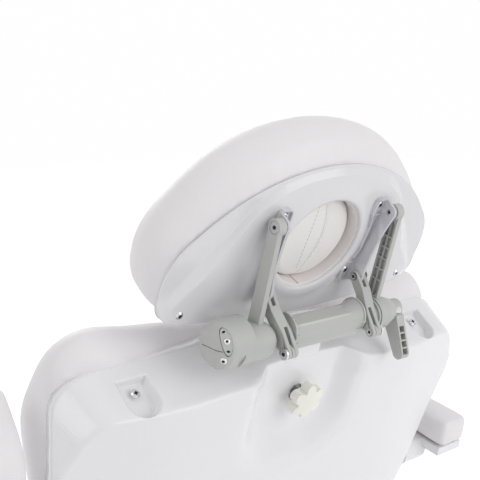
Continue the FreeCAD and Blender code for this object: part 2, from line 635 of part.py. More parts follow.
def back():
    pieces = {}
    frame = []
    top_bar = COLLAR_BOTTOM - COLLAR_WALL
    for side in (-1, 1):
        x = side * UPRIGHT_X
        half = UPRIGHT_WIDTH / 2
        frame.append(box(x - half, x + half, FRAME_FOOT, top_bar, FRAME_BACK, -FRAME_GAP))
    sleeve_bar = SLEEVE_BOTTOM + UPRIGHT_WIDTH / 3
    for a in (FRAME_LOW_BAR, ARM_PIVOT_A + PART_GAP, sleeve_bar, top_bar - UPRIGHT_WIDTH):
        frame.append(box(-UPRIGHT_X, UPRIGHT_X, a, a + UPRIGHT_WIDTH, FRAME_BACK, -FRAME_GAP))
    ear_x = RAIL_X + EAR_THICK / 2 + PART_GAP
    frame += hinge_ears((0, 0), (FRAME_LOW_BAR, FRAME_BACK), ear_x)
    wide = 2 * RAIL_X
    shape = joined(frame).cut(box(-wide, wide, EAR_RADIUS + EAR_SLOT, BACK_WAIST, -FRAME_GAP, BACK_PAD))
    pieces["back_frame"] = shape.cut(x_rod(-wide, wide, 0, 0, HINGE_PIN + RUN_FIT))

    bar_half = ARM_BAR / 2
    bracket_bar = box(UPRIGHT_X - UPRIGHT_WIDTH / 2, ARMREST_BLOCK_INNER - PART_GAP,
                      ARM_PIVOT_A - bar_half, ARM_PIVOT_A + bar_half, FRAME_BACK - STEM_THICK, FRAME_BACK)
    bracket_bar = bracket_bar.cut(x_rod(0, ARMREST_INNER, ARM_PIVOT_A, ARM_PIVOT_Z, ARM_PIVOT_PIN / 2))
    pivot_end = ARMREST_INNER + ARM_PIVOT_PIN
    pivot = x_rod(UPRIGHT_X + UPRIGHT_WIDTH, pivot_end, ARM_PIVOT_A, ARM_PIVOT_Z, ARM_PIVOT_PIN / 2)
    pieces["armrest_bracket_left"] = bracket_bar
    pieces["armrest_bracket_right"] = mirrored(bracket_bar)
    pieces["armrest_pin_left"] = pivot
    pieces["armrest_pin_right"] = mirrored(pivot)

    cavity = back_body(SHELL_WALL).cut(recess(SHELL_WALL)).cut(pockets(SHELL_WALL))
    shell = back_body(0).cut(cavity).cut(recess(0)).cut(pockets(0))
    shell = shell.cut(parted(2 * BACK_PAD))
    shell = shell.cut(z_rod(0, KNOB_A, -BACK_DEPTH, 0, STUD_HOLE))
    corner_screw = placed(screw(POCKET_X, CORNER_SCREW_UP, 0, CORNER_SCREW), pocket_frame(90))
    pieces["corner_screws"] = Part.makeCompound([corner_screw, mirrored(corner_screw)])
    collar_x = STEM_WIDTH / 2 + SLIDE_GAP + COLLAR_WALL
    collar_front = STEM_FRONT + SLIDE_GAP + COLLAR_WALL
    collar_rear = STEM_REAR - SLIDE_GAP - COLLAR_WALL
    collar = rounded(rectangle(collar_x, collar_rear, collar_front, 5), lambda u, v: V(u, COLLAR_BOTTOM, v))
    collar = Part.Face(collar).extrude(V(0, COLLAR_TOP - COLLAR_BOTTOM, 0))
    half = STEM_WIDTH / 2 + SLIDE_GAP
    bore = box(-half, half, SLEEVE_BOTTOM, COLLAR_TOP, STEM_REAR - SLIDE_GAP, STEM_FRONT + SLIDE_GAP)
    shell = shell.cut(collar)
    pieces["stem_collar"] = collar.cut(bore)
    slot = EAR_SLOT
    bar_half += slot
    bar_slots = []
    for side in (-1, 1):
        x = side * (UPRIGHT_X + ARMREST_BLOCK_INNER) / 2
        reach = (ARMREST_BLOCK_INNER - UPRIGHT_X) / 2
        bar_slots.append(box(x - reach, x + reach, ARM_PIVOT_A - bar_half, ARM_PIVOT_A + bar_half,
                             FRAME_BACK - STEM_THICK - slot, FRAME_BACK + slot))
        x = side * (ear_x + EAR_THICK / 2)
        reach = EAR_THICK / 2 + slot
        shell = shell.cut(box(x - reach, x + reach, 0, 1.5 * FRAME_LOW_BAR, -2 * EAR_RADIUS, 0))
    shell = shell.cut(Part.makeCompound(bar_slots))
    pieces["back_shell"] = shell

    sleeve = box(-SLEEVE_HALF_X, SLEEVE_HALF_X, SLEEVE_BOTTOM, COLLAR_BOTTOM, SLEEVE_REAR, FRAME_BACK)
    sleeve = sleeve.cut(bore).cut(z_rod(0, KNOB_A, SLEEVE_REAR - 1, STEM_REAR, KNOB_STUD + RUN_FIT))
    pieces["stem_sleeve"] = sleeve

    def pad_corners(draw, drop):
        half = [
            (BACK_BOTTOM_HALF - draw, BACK_BOTTOM + draw, BACK_FOOT_ROUND),
            (BACK_WAIST_HALF + EAR_SLOT - draw, BACK_WAIST, BACK_WAIST_ROUND),
            (BACK_SHOULDER_HALF + EAR_SLOT - draw, BACK_SHOULDER + BACK_PAD_RISE - drop, BACK_SHOULDER_ROUND),
            (BACK_CORNER_HALF + EAR_SLOT - draw, BACK_PAD_SHOULDER - drop, BACK_CORNER_ROUND),
        ]
        dip = (0, BACK_TOP - FRAME_GAP - drop * 0.5, BACK_DIP_ROUND)
        return half + [dip] + [(-u, v, radius) for u, v, radius in reversed(half)]

    rows = ((-BACK_SEAM, 3, 40), (-10.0, -1, 36), (16.0, -2, 22), (46.0, 0, 0), (74.0, 9, 12),
            (BACK_PAD - 6, 30, 36), (BACK_PAD, 70, 62))
    pad = skin([rounded(pad_corners(draw, drop), level(z)) for z, draw, drop in rows])
    core = back_corners(BACK_RIM, BACK_RIM, -2 * BACK_BOTTOM - BACK_RIM, 2.5)
    pad = pad.cut(slab(core, -2 * BACK_SEAM, 0)).cut(parted(-2 * BACK_DEPTH))
    pieces["back_cushion"] = pad.cut(Part.makeCompound(bar_slots))

    return {name: placed(shape, BACK) for name, shape in pieces.items()}


def knob():
    floor = -BACK_DEPTH + RECESS_DEPTH
    low = floor - 13
    lobes = [z_rod(0, KNOB_A, low - KNOB_THICK, low, KNOB_RADIUS - KNOB_LOBE)]
    ring = KNOB_RADIUS - KNOB_LOBE
    for i in range(KNOB_LOBES):
        angle = 2 * pi * (i + 0.5) / KNOB_LOBES
        lobes.append(z_rod(ring * cos(angle), KNOB_A + ring * sin(angle), low - KNOB_THICK, low, KNOB_LOBE))
    grip = joined(lobes)
    dome = Part.makeSphere(3.2 * KNOB_RADIUS, V(0, KNOB_A, low - KNOB_THICK + 3.2 * KNOB_RADIUS))
    neck = z_rod(0, KNOB_A, low, floor - 6, KNOB_RADIUS * 0.4)
    stud = z_rod(0, KNOB_A, low - KNOB_THICK / 2, STEM_REAR - PART_GAP, KNOB_STUD)
    pieces = {"star_knob": grip.common(dome).fuse(neck).cut(stud), "knob_stud": stud}
    return {name: placed(shape, BACK) for name, shape in pieces.items()}


def pin(x_head, x_tail, pivot):
    """Pivot pin along X: domed head inboard, flat screw head outboard."""
    shank = x_rod(x_head, x_tail, pivot[0], pivot[1], PIN_RADIUS)
    bulge = PIN_HEAD * 1.15
    ball = Part.makeSphere(bulge, V(x_head + bulge - PIN_HEAD_THICK, pivot[0], pivot[1]))
    dome = ball.common(x_rod(x_head - PIN_HEAD_THICK, x_head, pivot[0], pivot[1], PIN_HEAD))
    cap = x_rod(x_tail, x_tail + PIN_HEAD_THICK - 1, pivot[0], pivot[1], PIN_HEAD)
    socket = x_rod(x_tail + 1, x_tail + PIN_HEAD_THICK - 1, pivot[0], pivot[1], PIN_RADIUS * 0.7)
    return shank.fuse(dome).fuse(cap).cut(socket)


FORK_HALF = LUG_THICK / 2 + PART_GAP + CHEEK


def gusset():
    """Fins that widen the crossbar towards a lug, with a round plate across their ends."""
    shapes = []
    lowest = BAR_RADIUS + STOP_THICK
    middle = (GUSSET_START + 2 * GUSSET_END) / 3
    for i in range(GUSSET_FINS):
        share = i / (GUSSET_FINS - 1)
        rise = GUSSET_RISE + (lowest - GUSSET_RISE) * share
        tip = V(GUSSET_END, rise, 0)
        foot = V(GUSSET_START, BAR_RADIUS, 0)
        bend = V(middle, BAR_RADIUS + (rise - BAR_RADIUS) * 0.3, 0)
        low = V(GUSSET_END, NECK_RADIUS, 0)
        root = V(GUSSET_START, NECK_RADIUS, 0)
        edges = [Part.Arc(foot, bend, tip).toShape()]
        edges += [Part.LineSegment(a, b).toShape() for a, b in ((tip, low), (low, root), (root, foot))]
        fin = Part.Face(Part.Wire(edges)).extrude(V(0, 0, GUSSET_FIN))
        fin.translate(V(0, 0, -GUSSET_FIN / 2))
        fin.rotate(V(0, 0, 0), X_DIR, -GUSSET_FAN * share)
        shapes.append(fin.translated(V(0, BAR[0], BAR[1])))
    up = GUSSET_RISE - lowest
    shapes.append(x_rod(GUSSET_END - GUSSET_FIN, GUSSET_END, BAR[0] + up, BAR[1], lowest))
    return shapes


def carrier():
    """Stem, crossbar and hubs that rise and fall together."""
    pieces = {}
    neck_bottom = BAR_A - BAR_RADIUS - 2
    stem = box(-STEM_WIDTH / 2, STEM_WIDTH / 2, STEM_BOTTOM, neck_bottom, STEM_REAR, STEM_FRONT)
    pieces["headrest_stem"] = placed(stem, BACK)

    start = ARM_INNER + ARM_THICK + PART_GAP
    tail = start + HUB_SOCKET
    cap = start + ARM_SLEEVE
    reach = (cap + HUB_LEFT_END) / 2
    bar = [x_rod(-tail, reach, BAR[0], BAR[1], NECK_RADIUS)]
    for x0, x1 in ((-tail, -NECK_END), (-NECK_START, NECK_START), (NECK_END, reach)):
        bar.append(x_rod(x0, x1, BAR[0], BAR[1], BAR_RADIUS))
    facet = BAR_RADIUS + STOP_THICK
    turns = [pi * (i + 0.5) / 4 for i in range(9)]
    outline = [V(-NECK_START, BAR[0] + facet * cos(t), BAR[1] + facet * sin(t)) for t in turns]
    bar.append(Part.Face(Part.makePolygon(outline)).extrude(V(2 * NECK_START, 0, 0)))
    stop = ARM_INNER - PART_GAP
    collar = x_rod(stop - STOP_THICK, stop, BAR[0], BAR[1], BAR_RADIUS + STOP_THICK)
    lug_low = LUG_X - LUG_THICK / 2
    lug = hull(BAR, LUG, NECK_RADIUS, LINK_HALF, lug_low, lug_low + LUG_THICK)
    for shape in [collar, lug] + gusset():
        bar += [shape, mirrored(shape)]
    axle_end = HUB_RIGHT_END + LEVER_WIDTH + 2 * PART_GAP
    bar.append(x_rod(-axle_end, -tail, BAR[0], BAR[1], LEVER_AXLE))
    shape = placed(joined(bar), HEAD)
    neck = box(-STEM_WIDTH / 2 - 3, STEM_WIDTH / 2 + 3, neck_bottom, BAR_A, -BAR_BEHIND - 4, STEM_FRONT + 2)
    shape = shape.fuse(placed(neck, BACK)).removeSplitter()
    lug_holes = placed(x_rod(-LUG_X - 9, LUG_X + 9, LUG[0], LUG[1], PIN_RADIUS), HEAD)
    pieces["crossbar"] = shape.cut(lug_holes)

    axis = V(0, BAR[0] + HUB_UP, BAR[1] + HUB_FORWARD)
    shoulder = HUB_LEFT_END - HUB_BLUNT
    profile = [V(cap, 0, 0), V(cap, HUB_RADIUS, 0), V(shoulder, HUB_RADIUS, 0)]
    for i in range(1, HUB_STEPS + 1):
        angle = pi / 2 * i / HUB_STEPS
        profile.append(V(shoulder + HUB_BLUNT * sin(angle), HUB_RADIUS - HUB_BLUNT * (1 - cos(angle)), 0))
    profile.append(V(HUB_LEFT_END, 0, 0))
    hub = turned(profile, V(0, 0, 0), X_DIR)
    seat_x = reach
    flat = box(seat_x - HUB_FLAT, seat_x + HUB_FLAT, -HUB_RADIUS, HUB_RADIUS,
               -2 * HUB_RADIUS, -HUB_RADIUS + HUB_FLAT_DEPTH)
    hub = hub.cut(flat.rotated(V(0, 0, 0), X_DIR, -HUB_FLAT_TURN)).translated(axis)
    pieces["hub_left"] = placed(hub.cut(x_rod(cap, reach, BAR[0], BAR[1], BAR_RADIUS)), HEAD)
    wide = ARM_RING - EAR_SLOT
    profile = [V(-start, 0, 0), V(-start, wide, 0), V(-start - HUB_SOCKET, wide, 0),
               V(-HUB_RIGHT_END, HUB_RIGHT_TIP, 0), V(-HUB_RIGHT_END, 0, 0)]
    hub = turned(profile, V(0, 0, 0), X_DIR).translated(V(0, BAR[0], BAR[1]))
    hub = hub.cut(x_rod(-tail, -start, BAR[0], BAR[1], BAR_RADIUS))
    hub = hub.cut(x_rod(-HUB_RIGHT_END, -tail, BAR[0], BAR[1], LEVER_AXLE))
    pieces["hub_right"] = placed(hub, HEAD)

    lug_pin = pin(LUG_X - FORK_HALF - PART_GAP, LUG_X + FORK_HALF + PART_GAP, LUG)
    pieces["lug_pin_left"] = placed(lug_pin, HEAD)
    pieces["lug_pin_right"] = placed(mirrored(lug_pin), HEAD)
    return pieces


def lever():
    """Clamp lever on the right end of the crossbar, hollow behind with cross ribs."""
    x1 = -HUB_RIGHT_END - PART_GAP
    x0 = x1 - LEVER_WIDTH
    grip = hull((0, 0), (LEVER_LEAN, -LEVER_LENGTH), LEVER_EYE, LEVER_TIP, x0, x1)
    step = (LEVER_LENGTH - LEVER_HOLLOW + LEVER_WALL) / (LEVER_RIBS + 1)
    for i in range(LEVER_RIBS + 1):
        top = -LEVER_HOLLOW - i * step
        front = LEVER_LEAN * (step / 2 - top) / LEVER_LENGTH - LEVER_WALL
        cell = box(x0 + LEVER_WALL, x1 - LEVER_WALL, front, 3 * LEVER_EYE, top - step + ARM_RIB, top)
        grip = grip.cut(cell)
    grip = grip.cut(x_rod(x0, x1, 0, 0, LEVER_AXLE + RUN_FIT))
    face = LEVER_EYE - SCREW_SINK
    flat = box(x0, x1, face, 2 * LEVER_EYE, -SCREW_HEAD - EAR_SLOT, SCREW_HEAD + EAR_SLOT)
    cap = Part.makeCone(SCREW_HEAD, SCREW_HEAD * 0.7, SCREW_RISE, V((x0 + x1) / 2, face, 0), Y_DIR)
    place = FreeCAD.Placement(BAR_POINT, FreeCAD.Rotation())
    return {"clamp_lever": placed(grip.cut(flat), place), "lever_screw": placed(cap, place)}


def arms():
    """Long arms: smooth outside, a ladder of ribs inside, their feet set forward of the crossbar."""
    x0 = ARM_INNER
    x1 = ARM_INNER + ARM_THICK
    web = x1 - ARM_WEB
    lean = atan2(UPPER[1] - BAR[1], UPPER[0] - BAR[0])
    foot = (BAR[0] - ARM_FORWARD * sin(lean), BAR[1] + ARM_FORWARD * cos(lean))
    run = (UPPER[0] - foot[0], UPPER[1] - foot[1])
    length = hypot(*run)
    body = joined([
        hull(foot, UPPER, ARM_FOOT, ARM_TIP, web, x1),
        x_rod(x0, x1, BAR[0], BAR[1], ARM_RING),
        x_rod(x0, x1, UPPER[0], UPPER[1], ARM_BOSS),
    ])

    def at(share):
        return foot[0] + run[0] * share, foot[1] + run[1] * share

    start = (ARM_RING + ARM_FOOT) / length
    stop = 1 - (ARM_BOSS + ARM_TIP) / length
    floor = web + ARM_POCKET
    pocket = hull(at(start), at(stop), ARM_FOOT - ARM_WALL, ARM_TIP - ARM_WALL, web, floor)
    ribs = [box(web, floor, 0, length, -ARM_RIB / 2, ARM_RIB / 2)]
    for i in range(1, ARM_RIBS + 1):
        along = length * (start + (stop - start) * i / (ARM_RIBS + 1))
        ribs.append(box(web, floor, along - ARM_RIB / 2, along + ARM_RIB / 2, -ARM_FOOT, ARM_FOOT))
    ribs = joined(ribs).rotated(V(0, 0, 0), X_DIR, atan2(run[1], run[0]) * 180 / pi)
    body = body.cut(pocket.cut(ribs.translated(V(0, foot[0], foot[1]))))
    body = body.cut(x_rod(x0, x1, BAR[0], BAR[1], BAR_RADIUS + RUN_FIT))
    body = body.cut(x_rod(x0, x1, UPPER[0], UPPER[1], PIN_RADIUS + RUN_FIT))
    body = body.cut(x_rod(x1 - PIN_HEAD_THICK, x1, UPPER[0], UPPER[1], PIN_HEAD + PART_GAP))
    sleeve = x_rod(x1, x1 + ARM_SLEEVE, BAR[0], BAR[1], ARM_RING)
    sleeve = sleeve.cut(x_rod(x1, x1 + ARM_SLEEVE, BAR[0], BAR[1], BAR_RADIUS + RUN_FIT))
    return {"arm_left": placed(joined([body, sleeve]), HEAD), "arm_right": placed(mirrored(body), HEAD)}


def links():
    """Short fork links, cranked outwards from the crossbar lugs to the bracket ears."""
    run = (LOWER[0] - LUG[0], LOWER[1] - LUG[1])
    length = hypot(*run)
    along = (run[0] / length, run[1] / length)

    def section(share, x):
        y = LUG[0] + run[0] * share
        z = LUG[1] + run[1] * share
        half = LINK_HALF
        low_x = x - FORK_HALF
        high_x = x + FORK_HALF
        corners = [(low_x, -half), (high_x, -half), (high_x, half), (low_x, half)]
        points = [V(u, y - along[1] * w, z + along[0] * w) for u, w in corners]
        return Part.makePolygon(points + points[:1])

    stations = ((0.0, LUG_X), (0.3, LUG_X), (0.7, EAR_LOW_X), (1.0, EAR_LOW_X))
    body = skin([section(share, x) for share, x in stations], True)
    end_low = x_rod(LUG_X - FORK_HALF, LUG_X + FORK_HALF, LUG[0], LUG[1], LINK_HALF)
    end_high = x_rod(EAR_LOW_X - FORK_HALF, EAR_LOW_X + FORK_HALF, LOWER[0], LOWER[1], LINK_HALF)
    body = joined([body, end_low, end_high])
    gap = LUG_THICK / 2 + PART_GAP
    body = body.cut(x_rod(LUG_X - gap, LUG_X + gap, LUG[0], LUG[1], LINK_LOW_SLOT))
    body = body.cut(x_rod(EAR_LOW_X - gap, EAR_LOW_X + gap, LOWER[0], LOWER[1], LINK_HIGH_SLOT))
    body = body.cut(x_rod(0, 2 * LUG_X, LUG[0], LUG[1], PIN_RADIUS + RUN_FIT))
    body = body.cut(x_rod(0, 2 * EAR_LOW_X, LOWER[0], LOWER[1], PIN_RADIUS + OPEN_PIVOT_PLAY))
    return {"link_left": placed(body, HEAD), "link_right": placed(mirrored(body), HEAD)}


def head_wire(grow_side, grow_top, grow_bottom, z):
    """Half-moon outline of the headrest, grown at its sides, top and bottom."""
    corner = (HEAD_CORNER_HALF + grow_side * 0.6, HEAD_CORNER - grow_bottom)
    flank = (HEAD_HALF + grow_side, HEAD_CORNER + HEAD_FLANK - 0.6 * min(0, grow_bottom))
    shoulder = (HEAD_SHOULDER_HALF + grow_side * 0.75, HEAD_SHOULDER + grow_top * 0.6)
    bend = (corner[0] + 0.74 * (flank[0] - corner[0]), corner[1] + 0.3 * (flank[1] - corner[1]))
    side = (flank[0] - 0.13 * (flank[0] - shoulder[0]), flank[1] + 0.5 * (shoulder[1] - flank[1]))
    top = (0, HEAD_TOP + grow_top)
    bottom = (0, HEAD_BOTTOM - grow_bottom)

    def arc(a, b, c):
        return Part.Arc(V(a[0], a[1], z), V(b[0], b[1], z), V(c[0], c[1], z)).toShape()

    def flip(p):
        return -p[0], p[1]

    return Part.Wire([
        arc(flip(corner), bottom, corner),
        arc(corner, bend, flank),
        arc(flank, side, shoulder),
        arc(shoulder, top, flip(shoulder)),
        arc(flip(shoulder), flip(side), flip(flank)),
        arc(flip(flank), flip(bend), flip(corner)),
    ])


def bracket():
    """Waisted plate with a low edge all round and a bone-shaped wall that carries two ears."""
    middle = (BRACKET_TOP + BRACKET_BOTTOM) / 2
    waist = HOLE_RADIUS + 2 * LIP_RADIUS + EAR_EDGE + PART_GAP
    half = PLATE_THICK / 2

    def outline(inset):
        low_x = LOWER_SCREW_X - SCREW_SEAT + inset
        high_x = UPPER_SCREW_X - SCREW_SEAT + inset
        bottom = BRACKET_BOTTOM + inset
        top = BRACKET_TOP - inset
        return [
            (low_x, bottom, 6 - inset), (EAR_LOW_X + half - inset, bottom, 4 - inset),
            (EAR_HIGH_X + half - inset, top, 4 - inset), (high_x, top, 6 - inset),
            (high_x, UPPER_SCREW_ALONG - 14, 12), (waist + inset, middle + 20, 20),
            (waist + inset, middle - 20, 20), (low_x, LOWER_SCREW_ALONG + 14, 12),
        ]

    parts = [slab(outline(0), -BONE_EDGE, 0).cut(slab(outline(EAR_EDGE), -BONE_EDGE, -EAR_EDGE))]
    ear = PIN_HEAD + EAR_EDGE
    for pivot, ear_x in ((UPPER, EAR_HIGH_X), (LOWER, EAR_LOW_X)):
        plate = hull((pivot[0], -PLATE_THICK), pivot, ear + STOP_THICK, ear, ear_x - half, ear_x + half)
        parts.append(plate.common(box(0, 2 * EAR_HIGH_X, -BRACKET_TOP, 2 * BRACKET_TOP, -BRACKET_TOP, 0)))
    low = V(-half, LOWER[0], 0)
    high = V(-half, UPPER[0], 0)
    tip_low = V(-half, LOWER[0], LOWER[1] - ear)
    tip_high = V(-half, UPPER[0], UPPER[1] - ear)
    bone = [Part.Arc(tip_low, V(-half, (LOWER[0] + UPPER[0]) / 2, -BONE_WAIST), tip_high).toShape()]
    bone += [Part.LineSegment(a, b).toShape() for a, b in ((tip_high, high), (high, low), (low, tip_low))]
    wall = Part.Face(Part.Wire(bone)).extrude(V(PLATE_THICK, 0, 0))
    bend = LOWER[0] + LINK_HALF + EAR_EDGE
    beside = box(-PLATE_THICK, PLATE_THICK, LOWER[0], bend, -BRACKET_TOP, 0)
    parts.append(wall.common(beside).translated(V(EAR_LOW_X, 0, 0)))
    shear = FreeCAD.Matrix()
    shear.A12 = (EAR_HIGH_X - EAR_LOW_X) / (UPPER[0] - bend)
    shear.A14 = EAR_LOW_X - shear.A12 * bend
    parts.append(wall.cut(beside).transformGeometry(shear))
    for along, x in ((UPPER_SCREW_ALONG - SHELF, UPPER_SCREW_X),
                     (LOWER_SCREW_ALONG + SHELF, LOWER_SCREW_X + SCREW_HEAD)):
        parts.append(box(x - SCREW_SEAT + EAR_EDGE, x + SCREW_SEAT, along - 1, along + 1, -BONE_EDGE + 1, -1))
    shape = joined(parts)
    shape = shape.cut(z_rod(0, HOLE_ALONG, -BRACKET_TOP, 0, HOLE_RADIUS + 2 * LIP_RADIUS + PART_GAP))
    for pivot in (UPPER, LOWER):
        shape = shape.cut(x_rod(0, 2 * EAR_HIGH_X, pivot[0], pivot[1], PIN_RADIUS))
    return shape


def headrest():
    pieces = {}
    rim = -HEAD_RIM
    body = skin([head_wire(0, 0, 0, HEAD_PLATE_THICK), head_wire(-2, -2, -2, 0),
                 head_wire(-9, -9, -5, rim)], True)
    width = HEAD_RIM_WIDTH
    floor = HEAD_RIM_WIDTH + HEAD_RIM_SLOPE
    dish = skin([head_wire(-width, -width, 30, rim - 1), head_wire(-floor, -floor, 30, 0)], True)
    hole = z_rod(0, HOLE_ALONG, -40, HEAD_PAD + 40, HOLE_RADIUS)
    lip = Part.makeTorus(HOLE_RADIUS + LIP_RADIUS, LIP_RADIUS, V(0, HOLE_ALONG, 0))
    shell = body.cut(dish).cut(hole).fuse(lip)
    screw_seat = z_rod(SHELL_SCREW_X, 0, -2 * HEAD_RIM, 0, SCREW_HEAD + 2)
    pieces["head_shell"] = shell.cut(screw_seat).cut(mirrored(screw_seat))

    start = HEAD_PLATE_THICK
    rows = ((0.0, -3, -3, -3), (0.15, 5, 10, -8), (0.42, 9, 21, -22), (0.68, -7, 16, -22),
            (0.87, -18, 6, -30), (0.97, -50, -30, -54))
    pad = skin([head_wire(side, top, bottom, start + HEAD_PAD * share) for share, side, top, bottom in rows])
    pieces["head_cushion"] = pad.cut(hole)
    front = start + HEAD_PAD - 6
    outer = z_rod(0, HOLE_ALONG, -1, front, HOLE_RADIUS - SLIDE_GAP / 2)
    pieces["hole_sleeve"] = outer.cut(z_rod(0, HOLE_ALONG, -1, front, HOLE_RADIUS - SLEEVE_THICK))

    plate = bracket()
    heads = [screw(x, along, -EAR_EDGE, SCREW_HEAD) for along, x in
             ((UPPER_SCREW_ALONG, UPPER_SCREW_X), (LOWER_SCREW_ALONG, LOWER_SCREW_X))]
    upper_pin = pin(EAR_HIGH_X - PLATE_THICK / 2, ARM_INNER + ARM_THICK - PIN_HEAD_THICK + PART_GAP, UPPER)
    lower_pin = pin(EAR_LOW_X - FORK_HALF - PART_GAP, EAR_LOW_X + FORK_HALF + PART_GAP, LOWER)
    shell_screw = screw(SHELL_SCREW_X, 0, 0, SCREW_HEAD)
    pieces["bracket_screws"] = Part.makeCompound(heads + [mirrored(head) for head in heads])
    pieces["shell_screws"] = Part.makeCompound([shell_screw, mirrored(shell_screw)])
    for name, turn in (("left", lambda shape: shape), ("right", mirrored)):
        pieces["bracket_" + name] = turn(plate)
        pieces["upper_pin_" + name] = turn(upper_pin)
        pieces["lower_pin_" + name] = turn(lower_pin)
    return {name: placed(shape, HEAD) for name, shape in pieces.items()}


def plug():
    """Round pillow in the face hole, crowned before and behind."""
    radius = HOLE_RADIUS - SLEEVE_THICK - PART_GAP
    crown = (radius ** 2 + PLUG_BULGE ** 2) / (2 * PLUG_BULGE)
    front = PLUG_BACK + PLUG_LENGTH
    shape = z_rod(0, HOLE_ALONG, PLUG_BACK, front, radius)
    shape = shape.common(Part.makeSphere(crown, V(0, HOLE_ALONG, PLUG_BACK + crown)))
    shape = shape.common(Part.makeSphere(crown, V(0, HOLE_ALONG, front - crown)))
    return {"face_plug": placed(shape, HEAD)}


def armrests():
    pieces = {}
    x0 = ARMREST_INNER
    x1 = x0 + ARMREST_WIDTH
    low = ARMREST_TOP - ARMREST_PAD

    def profile(inset, x):
        under = low + inset * 0.5
        front = -ARMREST_FRONT
        rear = ARMREST_REAR - inset
        top = ARMREST_TOP - inset
        corners = [(rear, under, 8), (front + ARMREST_NOSE + 18, under, 60),
                   (front + 8 + inset * 0.6, inset - 6, 7), (front + inset, 20, 9),
                   (front + ARMREST_NOSE, top, 80), (rear, top, 10)]
        return rounded(corners, across(x))

    middle = (x0 + x1) / 2
    edge = ARMREST_EDGE
    rows = ((edge, x0), (1, x0 + edge), (0, middle), (1, x1 - edge), (edge, x1))
    pad = skin([profile(inset, x) for inset, x in rows])
    tray_top = low - PART_GAP / 2
    shell_low = low - ARMREST_TRAY
    tray = box(x0 + edge / 2, x1 - edge / 2, -ARMREST_FRONT / 2, ARMREST_REAR - edge, shell_low, tray_top)
    block_x = ARMREST_BLOCK_INNER
    block_end = x0 + ARMREST_TRAY
    block = hull((0, 0), (0, shell_low + 4), ARMREST_BLOCK, ARMREST_BLOCK - 3, block_x, block_end)
    tray = joined([tray, block]).cut(x_rod(block_x, block_end, 0, 0, ARM_PIVOT_PIN / 2 + RUN_FIT))
    tray = tray.cut(box(block_x, block_end, -ARMREST_WIDTH, ARMREST_WIDTH, tray_top, 2 * ARMREST_TOP))
    pivot = BACK.multVec(V(0, ARM_PIVOT_A, ARM_PIVOT_Z))
    lowered = FreeCAD.Placement(pivot, FreeCAD.Rotation(X_DIR, -ARMREST_SLOPE))
    raised = FreeCAD.Placement(pivot, FreeCAD.Rotation(X_DIR, -LEFT_RAISE))
    pieces["armrest_pad_left"] = placed(pad, raised)
    pieces["armrest_shell_left"] = placed(tray, raised)
    pieces["armrest_pad_right"] = placed(mirrored(pad), lowered)
    pieces["armrest_shell_right"] = placed(mirrored(tray), lowered)
    return pieces


def leg_rest():
    pieces = {}

    def corners(inset, start, end):
        return [(-LEG_FOOT_HALF + inset, -end, LEG_ROUND), (LEG_FOOT_HALF - inset, -end, LEG_ROUND),
                (LEG_TOP_HALF - inset, -start, LEG_TOP_ROUND), (-LEG_TOP_HALF + inset, -start, LEG_TOP_ROUND)]

    rows = ((0.0, 0.04), (0.24, -0.04), (0.6, -0.02), (0.83, 0.125), (0.95, 0.44), (1.0, 1.0))
    far = LEG_START + LEG_LENGTH
    pad = []
    for share, draw in rows:
        inset = draw * PAD_EDGE
        pad.append(rounded(corners(inset, LEG_START + inset, far - inset), level(share * LEG_PAD)))
    pieces["leg_cushion"] = skin(pad)

    def pan(inset, depth):
        end = LEG_START + LEG_LENGTH - LEG_RIM
        draw = inset + LEG_TAPER
        top = corners(inset + LEG_RIM, LEG_SHELL_START + inset, end - inset)
        bottom = corners(draw + LEG_RIM, LEG_SHELL_START + draw, end - draw)
        return skin([rounded(top, level(0)), rounded(bottom, level(-depth))], True)

    shell = pan(0, LEG_SHELL_DEPTH).cut(pan(SHELL_WALL, LEG_SHELL_DEPTH - SHELL_WALL))
    frame = []
    high_end = -LEG_SHELL_START - LEG_TAPER / 2
    low_end = high_end - LEG_RAIL_LENGTH
    half = UPRIGHT_WIDTH / 2
    for side in (-1, 1):
        x = side * LEG_RAIL_X
        frame.append(box(x - half, x + half, low_end, high_end, FRAME_BACK, -FRAME_GAP))
    reach = LEG_RAIL_X + LEG_TAPER
    for y in (high_end - UPRIGHT_WIDTH, low_end):
        frame.append(box(-reach, reach, y, y + UPRIGHT_WIDTH, FRAME_BACK, -FRAME_GAP))
    ear_x = RAIL_X + EAR_THICK / 2 + PART_GAP
    frame += hinge_ears((0, 0), (high_end - half, FRAME_BACK), ear_x)
    wide = 2 * RAIL_X
    shape = joined(frame).cut(box(-wide, wide, -LEG_LENGTH, -EAR_RADIUS - EAR_SLOT, -FRAME_GAP, LEG_PAD))
    pieces["leg_frame"] = shape.cut(x_rod(-wide, wide, 0, 0, HINGE_PIN + RUN_FIT))
    for side in (-1, 1):
        x = side * (ear_x + EAR_THICK / 2)
        reach = EAR_THICK / 2 + EAR_SLOT
        shell = shell.cut(box(x - reach, x + reach, high_end - UPRIGHT_WIDTH, 0, -2 * EAR_RADIUS, 0))
    pieces["leg_shell"] = shell
    return {name: placed(shape, LEG) for name, shape in pieces.items()}


os.makedirs("parts", exist_ok=True)
for section in (base, seat, back, knob, carrier, lever, arms, links, headrest, plug, armrests, leg_rest):
    for name, shape in section().items():
        if not shape.isValid() or shape.Volume <= 0:
            print("check", name, shape.isValid(), shape.Volume)
        shape.exportStep("parts/" + name + ".step")
        print(name, len(shape.Solids), round(shape.Volume / 1000), "cm3")
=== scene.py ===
# %% [markdown]
# # A beauty treatment chair, seen from behind its headrest
# The chair's metalwork, shells and joints come from a solid model, which is loaded first and never moved.
# This lesson dresses that model: it builds the moulded shells and the upholstery as surfaces worked out
# with numpy, stuffs the cushions with a cloth simulation and gives every piece a finish made of nodes.

# %% Load the solid model
import json

